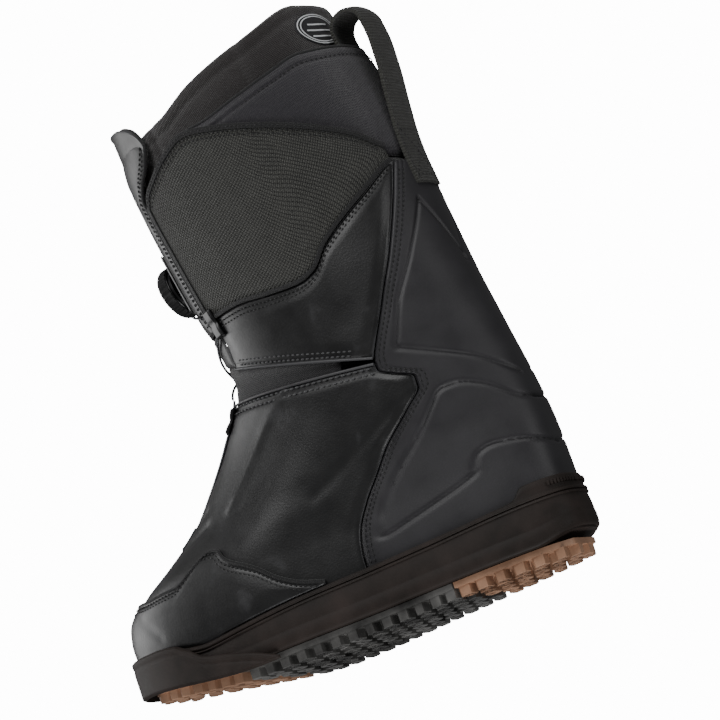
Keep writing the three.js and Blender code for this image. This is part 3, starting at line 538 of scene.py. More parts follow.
def leather(name, colour, rough, grain=1.1, depth=0.06):
    """Coated full-grain leather: tight pebble, a soft sheen that breaks up, paler worn edges."""
    material, tree, bsdf = start_material(name, Specular_IOR_Level=0.5, Coat_Weight=0.12,
                                          Coat_Roughness=0.35)
    place = node(tree, "ShaderNodeTexCoord").outputs["Object"]
    fine, broad, tiny = (
        node(tree, "ShaderNodeMapping", {"Vector": place, "Scale": repeats(mm)}).outputs[0]
        for mm in (grain, 16, 0.5))
    pebble = node(tree, "ShaderNodeTexVoronoi", {"Vector": fine, "Scale": 1.0},
                  feature="SMOOTH_F1").outputs["Distance"]
    mottle = node(tree, "ShaderNodeTexNoise", {"Vector": broad, "Scale": 1.0,
                                               "Detail": 6.0}).outputs["Fac"]
    pores = node(tree, "ShaderNodeTexNoise", {"Vector": tiny, "Scale": 1.0,
                                              "Detail": 2.0}).outputs["Fac"]
    edge = node(tree, "ShaderNodeAttribute", attribute_name="Edge").outputs["Fac"]
    worn = node(tree, "ShaderNodeMapRange", {"Value": edge, "From Min": 0.0, "From Max": 1.6,
                                             "To Min": 0.55, "To Max": 0.0}).outputs[0]
    tone = node(tree, "ShaderNodeMath", {0: mottle, 1: worn}, operation="ADD").outputs[0]
    ramp = node(tree, "ShaderNodeValToRGB", {"Fac": tone})
    set_ramp(ramp, (0.62, colour), (1.0, "#39393b"))
    rough_map = node(tree, "ShaderNodeMapRange", {"Value": mottle, "From Min": 0.3, "From Max": 0.7,
                                                  "To Min": rough - 0.06, "To Max": rough + 0.07})
    pebbled = node(tree, "ShaderNodeBump", {"Height": pebble, "Distance": depth * MM})
    pitted = node(tree, "ShaderNodeBump", {"Height": pores, "Distance": depth * 0.5 * MM,
                                           "Strength": 0.6, "Normal": pebbled.outputs[0]})
    tree.links.new(ramp.outputs["Color"], bsdf.inputs["Base Color"])
    tree.links.new(rough_map.outputs[0], bsdf.inputs["Roughness"])
    tree.links.new(pitted.outputs[0], bsdf.inputs["Normal"])
    return material


def moulded(name, colour, light, rough, grain=0.6, depth=0.04, shine=0.45):
    """Moulded rubber or plastic: even matte skin with a fine spark-eroded grain."""
    material, tree, bsdf = start_material(name, Specular_IOR_Level=shine)
    place = node(tree, "ShaderNodeTexCoord").outputs["Object"]
    close, broad = (
        node(tree, "ShaderNodeMapping", {"Vector": place, "Scale": repeats(mm)}).outputs[0]
        for mm in (grain, 22))
    fine = node(tree, "ShaderNodeTexNoise", {"Vector": close, "Scale": 1.0,
                                             "Detail": 3.0}).outputs["Fac"]
    cloud = node(tree, "ShaderNodeTexNoise", {"Vector": broad, "Scale": 1.0,
                                              "Detail": 5.0}).outputs["Fac"]
    ramp = node(tree, "ShaderNodeValToRGB", {"Fac": cloud})
    set_ramp(ramp, (0.35, colour), (0.75, light))
    rough_map = node(tree, "ShaderNodeMapRange", {"Value": cloud, "From Min": 0.3, "From Max": 0.7,
                                                  "To Min": rough - 0.05, "To Max": rough + 0.05})
    grained = node(tree, "ShaderNodeBump", {"Height": fine, "Distance": depth * MM})
    tree.links.new(ramp.outputs["Color"], bsdf.inputs["Base Color"])
    tree.links.new(rough_map.outputs[0], bsdf.inputs["Roughness"])
    tree.links.new(grained.outputs[0], bsdf.inputs["Normal"])
    return material


def cloth(name, dark, light, across, along_mm, turn=0.0, depth=0.35, rough=0.85, sheen=0.15,
          gap=0.0):
    """Woven or knitted cloth: crossing threads with lit crowns and dark gaps."""
    material, tree, bsdf = start_material(name, Roughness=rough, Specular_IOR_Level=0.3,
                                          Sheen_Weight=sheen, Sheen_Roughness=0.5)
    height = thread_grid(tree, across, along_mm, turn)
    place = node(tree, "ShaderNodeTexCoord").outputs["Object"]
    close, broad = (
        node(tree, "ShaderNodeMapping", {"Vector": place, "Scale": repeats(mm)}).outputs[0]
        for mm in (0.45, 14))
    fuzz = node(tree, "ShaderNodeTexNoise", {"Vector": close, "Scale": 1.0,
                                             "Detail": 2.0}).outputs["Fac"]
    cloud = node(tree, "ShaderNodeTexNoise", {"Vector": broad, "Scale": 1.0,
                                              "Detail": 4.0}).outputs["Fac"]
    # thread height drives the colour: painted highlight on the crowns, painted shade in the gaps
    threads = node(tree, "ShaderNodeMath", {0: height, 1: 0.65}, operation="MULTIPLY")
    shade = node(tree, "ShaderNodeMath", {0: fuzz, 1: 0.35, 2: threads.outputs[0]},
                 operation="MULTIPLY_ADD")
    tone = node(tree, "ShaderNodeMath", {0: cloud, 1: 0.3, 2: shade.outputs[0]},
                operation="MULTIPLY_ADD").outputs[0]
    ramp = node(tree, "ShaderNodeValToRGB", {"Fac": tone})
    set_ramp(ramp, (gap, dark), (1.0, light))
    woven = node(tree, "ShaderNodeBump", {"Height": height, "Distance": depth * MM})
    fuzzy = node(tree, "ShaderNodeBump", {"Height": fuzz, "Distance": depth * 0.4 * MM,
                                          "Strength": 0.5, "Normal": woven.outputs[0]})
    tree.links.new(ramp.outputs["Color"], bsdf.inputs["Base Color"])
    tree.links.new(fuzzy.outputs[0], bsdf.inputs["Normal"])
    return material


def steel(name):
    """Drawn steel wire, laid up in strands: bright, fine twist, slight smears."""
    material, tree, bsdf = start_material(name, Metallic=1.0, Roughness=0.3)
    place = node(tree, "ShaderNodeTexCoord").outputs["Object"]
    pitch = node(tree, "ShaderNodeMapping", {"Vector": place, "Scale": repeats(1.2)}).outputs[0]
    twist = node(tree, "ShaderNodeTexWave", {"Vector": pitch, "Scale": 1.0, "Distortion": 0.4},
                 bands_direction="DIAGONAL").outputs["Fac"]
    ramp = node(tree, "ShaderNodeValToRGB", {"Fac": twist})
    set_ramp(ramp, (0.0, "#3a3b3d"), (1.0, "#7b7d80"))
    strands = node(tree, "ShaderNodeBump", {"Height": twist, "Distance": 0.12 * MM})
    tree.links.new(ramp.outputs["Color"], bsdf.inputs["Base Color"])
    tree.links.new(strands.outputs[0], bsdf.inputs["Normal"])
    return material


MATERIALS = {}


def make_materials(colours):
    c = {key: "#" + "".join(f"{round(255 * v):02x}" for v in getattr(colours, key))
         for key in ("leather", "backstay", "canvas", "sidewall", "gum")}
    MATERIALS.update(
        # finished with a thin satin coat: soft broad highlights over a tight pebble
        leather=leather("Coated leather, satin", c["leather"], 0.4),
        # cut through and waxed: paler and drier than the face
        leather_edge=leather("Cut leather edge, waxed", "#2b2b2c", 0.5, 0.8, 0.04),
        # moulded film: an even, dull skin with no pores
        backstay=moulded("Moulded TPU film, matte", c["backstay"], "#262528", 0.5),
        # coarse two-way weave: thread crowns with painted highlights over gaps painted black as shade
        canvas=cloth("Ballistic nylon, basket weave", "#020202", c["canvas"], 1.75, 1.75, 35, 0.8, 0.7,
                     0.08, 0.42),
        # loops over foam: soft ribs and a faint fuzz
        knit=cloth("Stretch knit, ribbed", "#0b0a0d", "#211e25", 1.1, 0.8, 0, 0.3, 0.92, 0.3),
        # brushed: no gloss, only a nap
        lining=cloth("Brushed lining cloth", "#0a0a0b", "#19181a", 0.9, 0.9, 20, 0.2, 0.95, 0.3),
        # tight narrow weave: small even ridges along the strap
        webbing=cloth("Nylon webbing", "#0c0c0b", "#2e2e2a", 1.0, 1.9, 0, 0.45, 0.75),
        # ribbed tape: fine cross ribs, darker than what it binds
        binding=cloth("Binding tape, grosgrain", "#050506", "#131314", 0.6, 1.2, 0, 0.2, 0.7),
        # knit on closed-cell foam: brown-black and matt
        liner=cloth("Liner felt, brown-black knit", "#080605", "#1e1817", 1.3, 1.0, 12, 0.35, 0.95, 0.35),
        # satin weave: smooth, a little brighter than the knit
        patch=cloth("Woven label, satin", "#151416", "#26252a", 0.5, 0.5, 0, 0.08, 0.6),
        patch_mark=cloth("Label yarn, pale grey", "#b0b2b5", "#e4e6e8", 0.5, 0.8, 0, 0.1, 0.7),
        # bonded thread: black with a slight shine
        thread=cloth("Bonded polyester thread", "#040405", "#161617", 0.4, 0.4, 30, 0.06, 0.55),
        # the same black thread painted lighter grey as if lit: a painted highlight
        thread_lit=cloth("Waxed thread, grey", "#2b2b2d", "#5e5e60", 0.4, 0.4, 30, 0.06, 0.5),
        # moulded rubber: brown-black, dull and faintly rough
        sidewall=moulded("Cupsole rubber, matte", "#1b1613", c["sidewall"], 0.6, 0.5, 0.05, 0.22),
        # black rubber: duller than the nylon round it
        grip=moulded("Grip rubber, matte black", "#0c0c0d", "#1b1b1c", 0.6, 0.5, 0.04, 0.3),
        # poured in a polished mould: glossy black, with pale grey clouds painted into its colour where
        # the side faces would catch the light, painted highlights
        lug_black=moulded("Lug rubber, glossy black", "#1e1d1d", "#6e6d6b", 0.22, 2.0, 0.05, 0.7),
        # unfilled rubber: tan and lightly clouded
        gum=moulded("Gum rubber", "#7a5a45", c["gum"], 0.48, 1.0, 0.06),
        # glass-filled nylon: fine grain and a tight highlight
        plastic=moulded("Glass-filled nylon, satin", "#060607", "#111113", 0.32, 0.4, 0.02),
        # closed-cell foam with a cut face: chalky and pitted
        foam=moulded("EVA foam", "#363432", "#4c4a48", 0.9, 0.9, 0.15),
        # pressed fibre: pale and flecked
        board=moulded("Fibre board", "#77705f", "#989180", 0.9, 0.8, 0.1),
        # drawn wire: bright with the twist of its strands
        steel=steel("Stranded steel lace"),
    )


# ---- stitches -----------------------------------------------------------------------------
STITCHES = {}


def sew(body, line, kind="thread", pitch=3.0):
    """Keeps a stitch row for the stitching operator."""
    STITCHES.setdefault((body, kind, pitch), []).append(resample(line, 1.0) * MM)


def sew_edge(patch, side, body, gaps, off, trim=(0, 0), kind="thread", pitch=3.0):
    for gap in gaps:
        points, _ = patch.inset(side, gap, off, trim)
        if len(points) > 2:
            sew(body, points, kind, pitch)


def stitch_tree():
    """Rows of thread: rice-grain stitches set along the edges of a mesh."""
    tree = bpy.data.node_groups.new("Stitch rows", "GeometryNodeTree")
    face = tree.interface
    face.new_socket("Geometry", in_out="INPUT", socket_type="NodeSocketGeometry")
    for label in ("Pitch", "Length", "Thickness"):
        face.new_socket(label, in_out="INPUT", socket_type="NodeSocketFloat")
    face.new_socket("Thread", in_out="INPUT", socket_type="NodeSocketMaterial")
    face.new_socket("Geometry", in_out="OUTPUT", socket_type="NodeSocketGeometry")
    given = tree.nodes.new("NodeGroupInput").outputs
    line = node(tree, "GeometryNodeMeshToCurve", {0: given["Geometry"]})
    spaced = node(tree, "GeometryNodeResampleCurve", {"Curve": line.outputs[0],
                  "Length": given["Pitch"]}, mode="LENGTH")
    grain = node(tree, "GeometryNodeMeshUVSphere", {"Segments": 6, "Rings": 5, "Radius": 0.5})
    size = node(tree, "ShaderNodeCombineXYZ", {0: given["Length"], 1: given["Thickness"],
                                               2: given["Thickness"]})
    turn = node(tree, "FunctionNodeAlignRotationToVector", {
        "Vector": node(tree, "GeometryNodeInputTangent").outputs[0]}, axis="X")
    placed = node(tree, "GeometryNodeInstanceOnPoints", {
        "Points": spaced.outputs[0], "Instance": grain.outputs["Mesh"],
        "Rotation": turn.outputs[0], "Scale": size.outputs[0]})
    real = node(tree, "GeometryNodeRealizeInstances", {0: placed.outputs[0]})
    soft = node(tree, "GeometryNodeSetShadeSmooth", {0: real.outputs[0]})
    done = node(tree, "GeometryNodeSetMaterial", {0: soft.outputs[0], "Material": given["Thread"]})
    tree.links.new(done.outputs[0], tree.nodes.new("NodeGroupOutput").inputs[0])
    return tree


def apply_tree(obj, tree, values):
    """Runs a node tree on an object and leaves its result as a plain mesh."""
    modifier = obj.modifiers.new("Nodes", "NODES")
    modifier.node_group = tree
    for item in tree.interface.items_tree:
        if item.in_out == "INPUT" and item.name in values:
            modifier[item.identifier] = values[item.name]
    view = bpy.context.evaluated_depsgraph_get()
    mesh = bpy.data.meshes.new_from_object(obj.evaluated_get(view))
    obj.modifiers.remove(modifier)
    obj.data = mesh
    return obj


def line_object(name, lines):
    points = np.concatenate(lines)
    edges, base = [], 0
    for line in lines:
        edges += [(base + k, base + k + 1) for k in range(len(line) - 1)]
        base += len(line)
    mesh = bpy.data.meshes.new(name)
    mesh.from_pydata(points.tolist(), edges, [])
    obj = bpy.data.objects.new(name, mesh)
    bpy.context.scene.collection.objects.link(obj)
    return obj


def build_stitches(sizes):
    tree = stitch_tree()
    for number, ((body, kind, pitch), lines) in enumerate(sorted(STITCHES.items())):
        obj = line_object(f"stitching_{body}_{number}", lines)
        wide = sizes.thread_size * (pitch / 3.0)
        apply_tree(obj, tree, {"Pitch": pitch * MM, "Length": pitch * 0.68 * MM,
                               "Thickness": wide, "Thread": MATERIALS[kind]})
        finish_piece(obj, MATERIALS[kind], body)


# ---- lower shell --------------------------------------------------------------------------
def backstay_edge(z):
    return curve(z, BACKSTAY)


def vamp_top(phi):
    return np.minimum(lower_rim(phi), curve(fold(phi), THROAT_TOP))


def build_lower():
    M = MATERIALS
    lining = ring_shell("lower_lining", sole_line, lambda p: lower_rim(p) - 0.5, LINING_OUT, 2.6)
    finish_piece(lining, M["lining"], "lower_boot", ["lower_lining"])
    vamp = Patch(lambda z: backstay_edge(z) + 0.3, lambda z: 359.7 - backstay_edge(z), sole_line,
                 vamp_top, 1.7)
    shape = np.zeros_like(vamp.z)
    for line, depth, width in FOLDS:  # a fold is a soft ridge or crease
        for path in (line, mirror(line)):
            shape += pressed(vamp.point, path, depth, width)
    folded = fold(vamp.phi)
    puff = 1.1 * smooth(0, 10, vamp.edge) * smooth(40, 70, vamp.z) - 0.9
    seam = -0.35 * np.exp(-((vamp.top - 5.4) / 0.9) ** 2) * (folded < 150)
    piece = shell("vamp", vamp, PANEL_OUT, PANEL_THICK, 1.1, shape + puff + seam)
    finish_piece(piece, M["leather"], "lower_boot", ["vamp"])
    for gap in (2.6, 6.2):
        points, _ = vamp.inset("top", gap, PANEL_OUT + 0.2, (4, 4))
        front = points[:, 1] < -27  # the throat rows keep the black thread; the other rows get the thread painted lit grey, a painted highlight
        for part in (~front & (points[:, 0] > 0), ~front & (points[:, 0] < 0)):
            sew("lower_boot", points[part], "thread_lit", 3.9)
        sew("lower_boot", points[front], "thread", 3.9)
    rim, normal = vamp.inset("top", 0.5, PANEL_OUT)
    keep = rim[:, 2] > 139
    for number, side in enumerate((rim[:, 0] > 0, rim[:, 0] < 0)):
        use = keep & side
        finish_piece(sweep(f"vamp_edge_{number}", rim[use], normal[use],
                           round_profile(0.8, 8)), M["leather_edge"], "lower_boot")
    throat = Patch(lambda z: curve(z, THROAT_SIDE), lambda z: 360 - curve(z, THROAT_SIDE),
                   fixed(108.8), lambda p: lower_rim(p) - 1, 1.2)
    rib = 0.35 * np.cos(throat.bottom * 2 * math.pi / 6.0) * smooth(0, 3, throat.edge)
    finish_piece(shell("throat_tongue", throat, PANEL_OUT, PANEL_THICK, 0.8, rib), M["knit"],
                 "lower_boot", ["throat_tongue"])
    build_toe_cap()
    gusset = Patch(fixed(84), fixed(276), lambda p: lower_rim(p) - 1.5, lambda p: cuff_rim(p) + 3, 1.5)
    pleat = 0.9 * np.sin(np.clip(gusset.bottom / (gusset.bottom[-1:] + 1e-6), 0, 1) * math.pi * 3)
    piece = shell("ankle_gusset", gusset, LINING_OUT + 0.9, 2.4, 0.8, pleat * 0.6)
    finish_piece(piece, M["lining"], ("lower_boot", "cuff", (0, 0.0, 0.150), (0, 0.0, 0.172)),
                 ["ankle_gusset"])


def build_toe_cap():
    M = MATERIALS
    cap = Patch(fixed(89), fixed(271), lambda p: lip_line(p) + 0.4, along(TOE_CAP_TOP), 1.4)
    shape = 0.5 * smooth(0, 12, cap.edge) - 0.3 * np.exp(-((cap.top - 2.6) / 0.8) ** 2)
    crease = pressed(cap.point, [(150, 62), (144, 54), (139, 46)], -0.35, 3.5)
    crease += pressed(cap.point, mirror([(150, 62), (144, 54), (139, 46)]), -0.35, 3.5)
    piece = shell("toe_cap", cap, OVERLAY_OUT - 0.4, 2.2, 1.0, shape + crease)
    finish_piece(piece, M["leather"], "lower_boot", ["toe_cap"])
    sew_edge(cap, "top", "lower_boot", (2.6, 5.2), OVERLAY_OUT - 0.15, (3, 3))
    rim, normal = cap.inset("top", 0.1, OVERLAY_OUT - 1.0)
    finish_piece(sweep("toe_cap_piping", rim, normal, round_profile(1.2, 10)), M["binding"],
                 "lower_boot")


def build_backstay():
    M = MATERIALS
    stay = Patch(lambda z: -backstay_edge(z) + 0.3, lambda z: backstay_edge(z) - 0.3, sole_line,
                 fixed(250), 1.1)
    shape = 0.7 * smooth(0, 1.5, stay.edge)
    for line in CHANNELS:
        for path in (line, [(-p, z) for p, z in line]):
            shape += pressed(stay.point, path, -1.15, 1.15)
    for gap in (3.0, 6.0):
        for side in (stay.left, stay.right):
            shape -= 0.25 * np.exp(-((side - gap) / 0.7) ** 2)
    piece = shell("backstay", stay, PANEL_OUT, 2.0, 1.0, shape)
    bend = ("lower_boot", "cuff", (0, 0.14, 0.128), (0, 0.136, 0.156))
    finish_piece(piece, M["backstay"], bend, ["backstay_lower", "backstay_upper"])
    for side in ("left", "right"):
        for gap in (3.0, 6.0):
            points, _ = stay.inset(side, gap, PANEL_OUT + 0.75, (24, 6))
            low = points[:, 2] < LOWER_RIM
            sew("lower_boot", points[low], "thread", 3.0)
            sew("cuff", points[~low], "thread", 3.0)


# ---- cuff ---------------------------------------------------------------------------------
def both_sides(name, left, right, bottom, top, step):
    """Medial patch and its mirror, with their names."""
    yield f"{name}_medial", Patch(left, right, bottom, top, step), False
    yield f"{name}_lateral", Patch(lambda z: 360 - right(z), lambda z: 360 - left(z), bottom, top,
                                   step), True


def build_cuff():
    M = MATERIALS
    lining = Patch(fixed(-FLAP_EDGE), fixed(FLAP_EDGE), lining_rim,
                   lambda p: along(PANEL_TOP)(p) - 6, 3.0)
    finish_piece(shell("cuff_lining", lining, LINING_OUT, 2.6, 1.0), M["lining"], "cuff",
                 ["cuff_lining"])
    side_edge = lambda z: 21 + 3 * smooth(254, 245, z)
    for name, woven, flip in both_sides("woven_panel", side_edge, fixed(FLAP_EDGE),
                                        along(PANEL_BOTTOM), along(PANEL_TOP), 1.8):
        puff = 0.6 * smooth(2, 14, woven.edge)
        finish_piece(shell(name, woven, PANEL_OUT, PANEL_THICK, 0.8, puff), M["canvas"],
                     "cuff", [name])
        free = "left" if flip else "right"
        for number, side in enumerate(("top", "bottom", free)):
            line, normal = woven.inset(side, 0.7 if side == "bottom" else 1.3, PANEL_OUT - 0.1)
            width = 2.6 if side == "bottom" else 3.4
            finish_piece(sweep(f"{name}_binding_{number}", line, normal,
                               band_profile(width, 1.1, 0.5)), M["binding"], "cuff")
        sew_edge(woven, "top", "cuff", (4.2, 7.0), PANEL_OUT + 0.45, (6, 6))
        sew_edge(woven, free, "cuff", (4.2, 7.0), PANEL_OUT + 0.45, (6, 6))
        sew_edge(woven, "top", "cuff", (1.3,), PANEL_OUT + 1.05, (3, 3), "thread", 2.6)
    for name, band, flip in both_sides("ankle_band", lambda z: backstay_edge(z) + 0.3,
                                       fixed(FLAP_EDGE), cuff_rim,
                                       lambda p: along(PANEL_BOTTOM)(p) - 1.0, 1.6):
        puff = 0.9 * smooth(1, 12, band.edge) - 0.3
        grooves = -0.3 * np.exp(-((band.bottom - 3.0) / 0.8) ** 2)
        finish_piece(shell(name, band, PANEL_OUT, PANEL_THICK, 1.1, puff + grooves), M["leather"],
                     "cuff", [name])
        trim = (8, 14) if flip else (14, 8)
        # the bottom rows use the thread painted lit grey, a painted highlight; the top rows stay black
        sew_edge(band, "bottom", "cuff", (2.6, 5.4), PANEL_OUT + 0.15, trim, "thread_lit", 3.3)
        sew_edge(band, "top", "cuff", (2.8, 5.6), PANEL_OUT + 0.2, (4, 4))
        rim, normal = band.inset("bottom", 0.4, PANEL_OUT - 0.2)
        finish_piece(sweep(f"{name}_edge", rim, normal, round_profile(0.8, 8)), M["leather_edge"],
                     "cuff")
    build_collar()
    build_pull_loop()


def build_collar():
    collar = Patch(fixed(-103), fixed(103), lambda p: along(PANEL_TOP)(p) - 5, along(COLLAR_TOP), 1.6)
    tall = collar.bottom[-1:] + 1e-6
    swell = 2.6 * np.sin(np.clip(collar.bottom / tall, 0, 1) * math.pi) ** 0.6
    swell -= 0.8 * np.exp(-((collar.top - 7.0) / 1.6) ** 2)
    piece = shell("soft_collar", collar, LINING_OUT + 0.6, 3.4, 1.7, swell * smooth(0, 6, collar.edge))
    finish_piece(piece, MATERIALS["knit"], "cuff", ["soft_collar"])
    rim, normal = collar.inset("top", 0.6, LINING_OUT - 0.6)
    finish_piece(sweep("collar_rim", rim, normal, round_profile(1.5, 10)), MATERIALS["binding"],
                 "cuff")
    sew_edge(collar, "top", "cuff", (7.0,), LINING_OUT + 1.9, (6, 6))


LOOP_BULGE, LOOP_WIDE, LOOP_CROWN = 15.0, 25.0, 40.0


def loop_path():
    """Side view of the pull loop's middle line: distance back and height."""
    def back(z, off):
        return skin(0.0, float(z), off)[1:]
    out, inside, arch = OVERLAY_IN + 1.0, LINING_IN - 2.2, COLLAR_TOP[0][1] + 8
    rear, near = back(arch, out)[0] + LOOP_BULGE, back(arch, inside)[0]
    middle, radius = (rear + near) / 2, (rear - near) / 2
    path = [back(z, out + LOOP_BULGE * float(smooth(250, 335, z)))
            for z in (234, 244, 254, 266, 285, 305, 321)]
    for k in range(9):
        t = math.pi * k / 8
        path.append((middle + radius * math.cos(t), arch + radius * math.sin(t)))
    path += [back(z, inside) for z in (323, 311, 299)]
    return np.array([(0.0, y, z) for y, z in path])


def spline(points, count):
    """Smooth line through 3-D points."""
    p = np.asarray(points, float)
    chord = np.sqrt(np.linalg.norm(np.diff(p, axis=0), axis=1))
    t = np.concatenate([[0], np.cumsum(chord)])
    at = np.linspace(0, t[-1], count)
    return np.stack([curve(at, list(zip(t, p[:, k] + t * 1e-9))) for k in range(3)], -1)


def build_pull_loop():
    line = resample(spline(loop_path(), 300), 1.0)
    tangent = np.gradient(line, axis=0)
    normal = np.stack([np.zeros(len(line)), tangent[:, 2], -tangent[:, 1]], -1)
    normal /= np.linalg.norm(normal, axis=1, keepdims=True)
    def bow(x):
        return x * x / (2 * LOOP_CROWN)
    xs = np.linspace(-LOOP_WIDE / 2, LOOP_WIDE / 2, 21)
    outline = [(x, 1.0 - bow(x)) for x in xs] + [(x, -1.0 - bow(x)) for x in xs[::-1]]
    loop = sweep("pull_loop", line, normal, outline)
    finish_piece(loop, MATERIALS["webbing"], "cuff", ["pull_loop"])
    for x in (-10.8, 10.8):
        sew("cuff", [p + np.array([x, 0, 0]) + n * (0.9 - bow(x))
                     for p, n in zip(line[4:38], normal[4:38])])
    low, high = 5, 34
    for x0, x1 in ((-10, 10), (10, -10)):
        k = np.arange(low, high)
        x = np.interp(k, (low, high), (x0, x1))
        sew("cuff", np.stack([x, line[k, 1], line[k, 2]], -1)
            + normal[k] * (0.95 - bow(x))[:, None])
    for k in (low, high):
        x = np.linspace(-10, 10, 12)
        sew("cuff", np.stack([x, line[k, 1] + 0 * x, line[k, 2] + 0 * x], -1)
            + normal[k] * (0.95 - bow(x))[:, None])


# ---- tongue, reel and lace ----------------------------------------------------------------
def tongue_lean(z):
    """How far the top of the tongue bends in towards the shin."""
    return 5.5 * smooth(304, 343, z)


def sew_tongue(tongue, side):
    for gap in (3.4, 6.0):
        points, normal = tongue.inset(side, gap, PANEL_OUT + 0.25, (5, 5))
        sew("tongue", points - normal * tongue_lean(points[:, 2])[:, None])


def build_tongue():
    M = MATERIALS
    root = Patch(fixed(FLAP_EDGE + 0.6), fixed(359.4 - FLAP_EDGE), lambda p: cuff_rim(p) + 2,
                 fixed(TONGUE_FOLD - 0.8), 1.6)
    finish_piece(shell("tongue_root", root, PANEL_OUT, PANEL_THICK, 0.9,
                       0.5 * smooth(0, 8, root.edge) - 0.3), M["leather"], "cuff",
                 ["tongue_root"])
    wing = lambda z: curve(z, TONGUE_WING)
    tongue = Patch(wing, lambda z: 360 - wing(z), fixed(TONGUE_FOLD + 0.8), along(TONGUE_TOP), 1.6)
    body = 0.9 * smooth(1, 12, tongue.edge) - 0.4 - tongue_lean(tongue.z)
    for line in ([(146, 262), (152, 285), (160, 305), (180, 312)],
                 [(147, 205), (152, 214), (160, 219), (180, 221)]):
        for path in (line, mirror(line)):
            body += pressed(tongue.point, path, -0.7, 1.1)
    finish_piece(shell("shell_tongue", tongue, PANEL_OUT, PANEL_THICK, 1.1, body), M["leather"],
                 "tongue", ["shell_tongue"])
    for side in ("left", "right", "top"):
        sew_tongue(tongue, side)
        rim, normal = tongue.inset(side, 0.5, PANEL_OUT - 0.4)
        rim = rim - normal * tongue_lean(rim[:, 2])[:, None]
        finish_piece(sweep(f"tongue_piping_{side}", rim, normal, round_profile(1.15, 10)),
                     M["binding"], "tongue")
    pad = Patch(fixed(TONGUE_EDGE + 1.5), fixed(358.5 - TONGUE_EDGE), fixed(204), fixed(338), 2.0)
    channel = -0.8 * np.exp(-(((pad.bottom % 22) - 11) / 1.6) ** 2)
    lean = -tongue_lean(pad.z)
    finish_piece(shell("tongue_pad", pad, LINING_OUT, 2.8, 1.2, 0.2 * smooth(0, 6, pad.edge) + lean,
                       channel * 0.4 + lean), M["lining"], "tongue", ["tongue_pad"])


REEL_HEIGHT, KNOB_RADIUS = 243, 15.5
REEL_AXIS = skin_normal(180.0, float(REEL_HEIGHT))
REEL_ORIGIN = skin(180.0, REEL_HEIGHT, OVERLAY_IN + 1.6)


def turned(name, profile, segments=96, shape=None):
    """Piece turned about the reel axis from (radius, height) pairs, with an optional rib rule."""
    rows, angle = np.array(profile, float), np.arange(segments) * 2 * math.pi / segments
    radius = np.repeat(rows[:, :1], segments, 1)
    if shape is not None:
        radius = shape(radius, rows[:, 1:], angle[None])
    z_axis = Vector(REEL_AXIS)
    turn = np.array(Vector((0, 0, 1)).rotation_difference(z_axis).to_matrix())
    local = np.stack([radius * np.cos(angle), radius * np.sin(angle),
                      np.repeat(rows[:, 1:], segments, 1)], -1)
    points = local.reshape(-1, 3) @ turn.T + REEL_ORIGIN
    n = len(rows)
    closed = rows[0][0] > 0.01 and rows[-1][0] > 0.01
    faces = [grid_faces(n, segments, 0, True)]
    k = np.arange(segments)
    if closed:
        faces.append(np.stack([(n - 1) * segments + k, k, (k + 1) % segments,
                               (n - 1) * segments + (k + 1) % segments], -1))
    obj = mesh_object(name, points, faces, flat=38)
    if not closed:
        weld(obj)
    return obj


def weld(obj):
    """Merges the points that meet on an axis or seam."""
    distance = 0.02 * MM
    work = bmesh.new()
    work.from_mesh(obj.data)
    bmesh.ops.remove_doubles(work, verts=work.verts, dist=distance)
    bmesh.ops.dissolve_degenerate(work, edges=work.edges, dist=distance)
    work.to_mesh(obj.data)
    work.free()


def build_reel():
    M, K = MATERIALS, KNOB_RADIUS
    mount = Patch(fixed(161), fixed(199), fixed(REEL_HEIGHT - 20), fixed(REEL_HEIGHT + 19), 1.0)
    finish_piece(shell("reel_mount", mount, OVERLAY_IN + 1.2, 1.2, 1.1), M["plastic"],
                 "tongue", ["reel_mount"])
    sew_edge(mount, "top", "tongue", (2.2,), OVERLAY_IN + 1.25, (4, 4))
    sew_edge(mount, "bottom", "tongue", (2.2,), OVERLAY_IN + 1.25, (4, 4))
    housing = [(1.5, 0), (K - 1.4, 0), (K - 1.4, 6.0), (K - 1.8, 6.4), (K - 4.4, 6.4), (K - 4.4, 1.4),
               (2.8, 1.4), (2.8, 6.8), (1.5, 6.8)]
    finish_piece(turned("reel_housing", housing), M["plastic"], "tongue", ["reel_housing"])
    dish = [(0.001, 8.4), (4, 8.4), (4, 6.8), (9.4, 6.8), (9.4, 8.4), (K - 0.9, 8.4), (K - 0.9, 1.9),
            (K - 0.6, 1.7), (K - 0.1, 1.7), (K, 2.1), (K, 8.6), (K - 0.3, 9.2), (K - 1.1, 9.6),
            (K - 3, 9.75), (K - 3.6, 9.5), (K - 4.4, 9.4), (0.001, 9.6)]
    finish_piece(turned("reel_knob", dish), M["plastic"], "knob", ["reel_knob"])

    def ribs(radius, height, angle):
        crown = np.clip((radius - K - 0.6) / 0.7, 0, 1)
        return radius - crown * 0.75 * (0.5 - 0.5 * np.cos(angle * 28)) ** 0.7
    grip = [(K + 0.3, 2.1), (K + 0.9, 2.1), (K + 1.3, 2.6), (K + 1.4, 4), (K + 1.4, 6), (K + 1.2, 7.4),
            (K + 0.8, 8.0), (K + 0.3, 8.0)]
    finish_piece(turned("knob_grip", grip, 336, ribs), M["grip"], "knob",
                 ["knob_grip"])
    inlay = [(0.001, 9.9), (K - 4.8, 9.9), (K - 4.5, 10.1), (K - 4.8, 10.4), (K - 6, 10.45),
             (K - 6.4, 10.25), (0.001, 10.3)]
    finish_piece(turned("knob_inlay", inlay), M["grip"], "knob", ["knob_inlay"])
    for name, key in (("reel_spool", "plastic"), ("ratchet_disc", "plastic"),
                      ("reel_axle_screw", "steel"), ("midsole_foam", "foam"),
                      ("insole_board", "board")):
        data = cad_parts[name]
        data.data.materials.clear()
        data.data.materials.append(M[key])


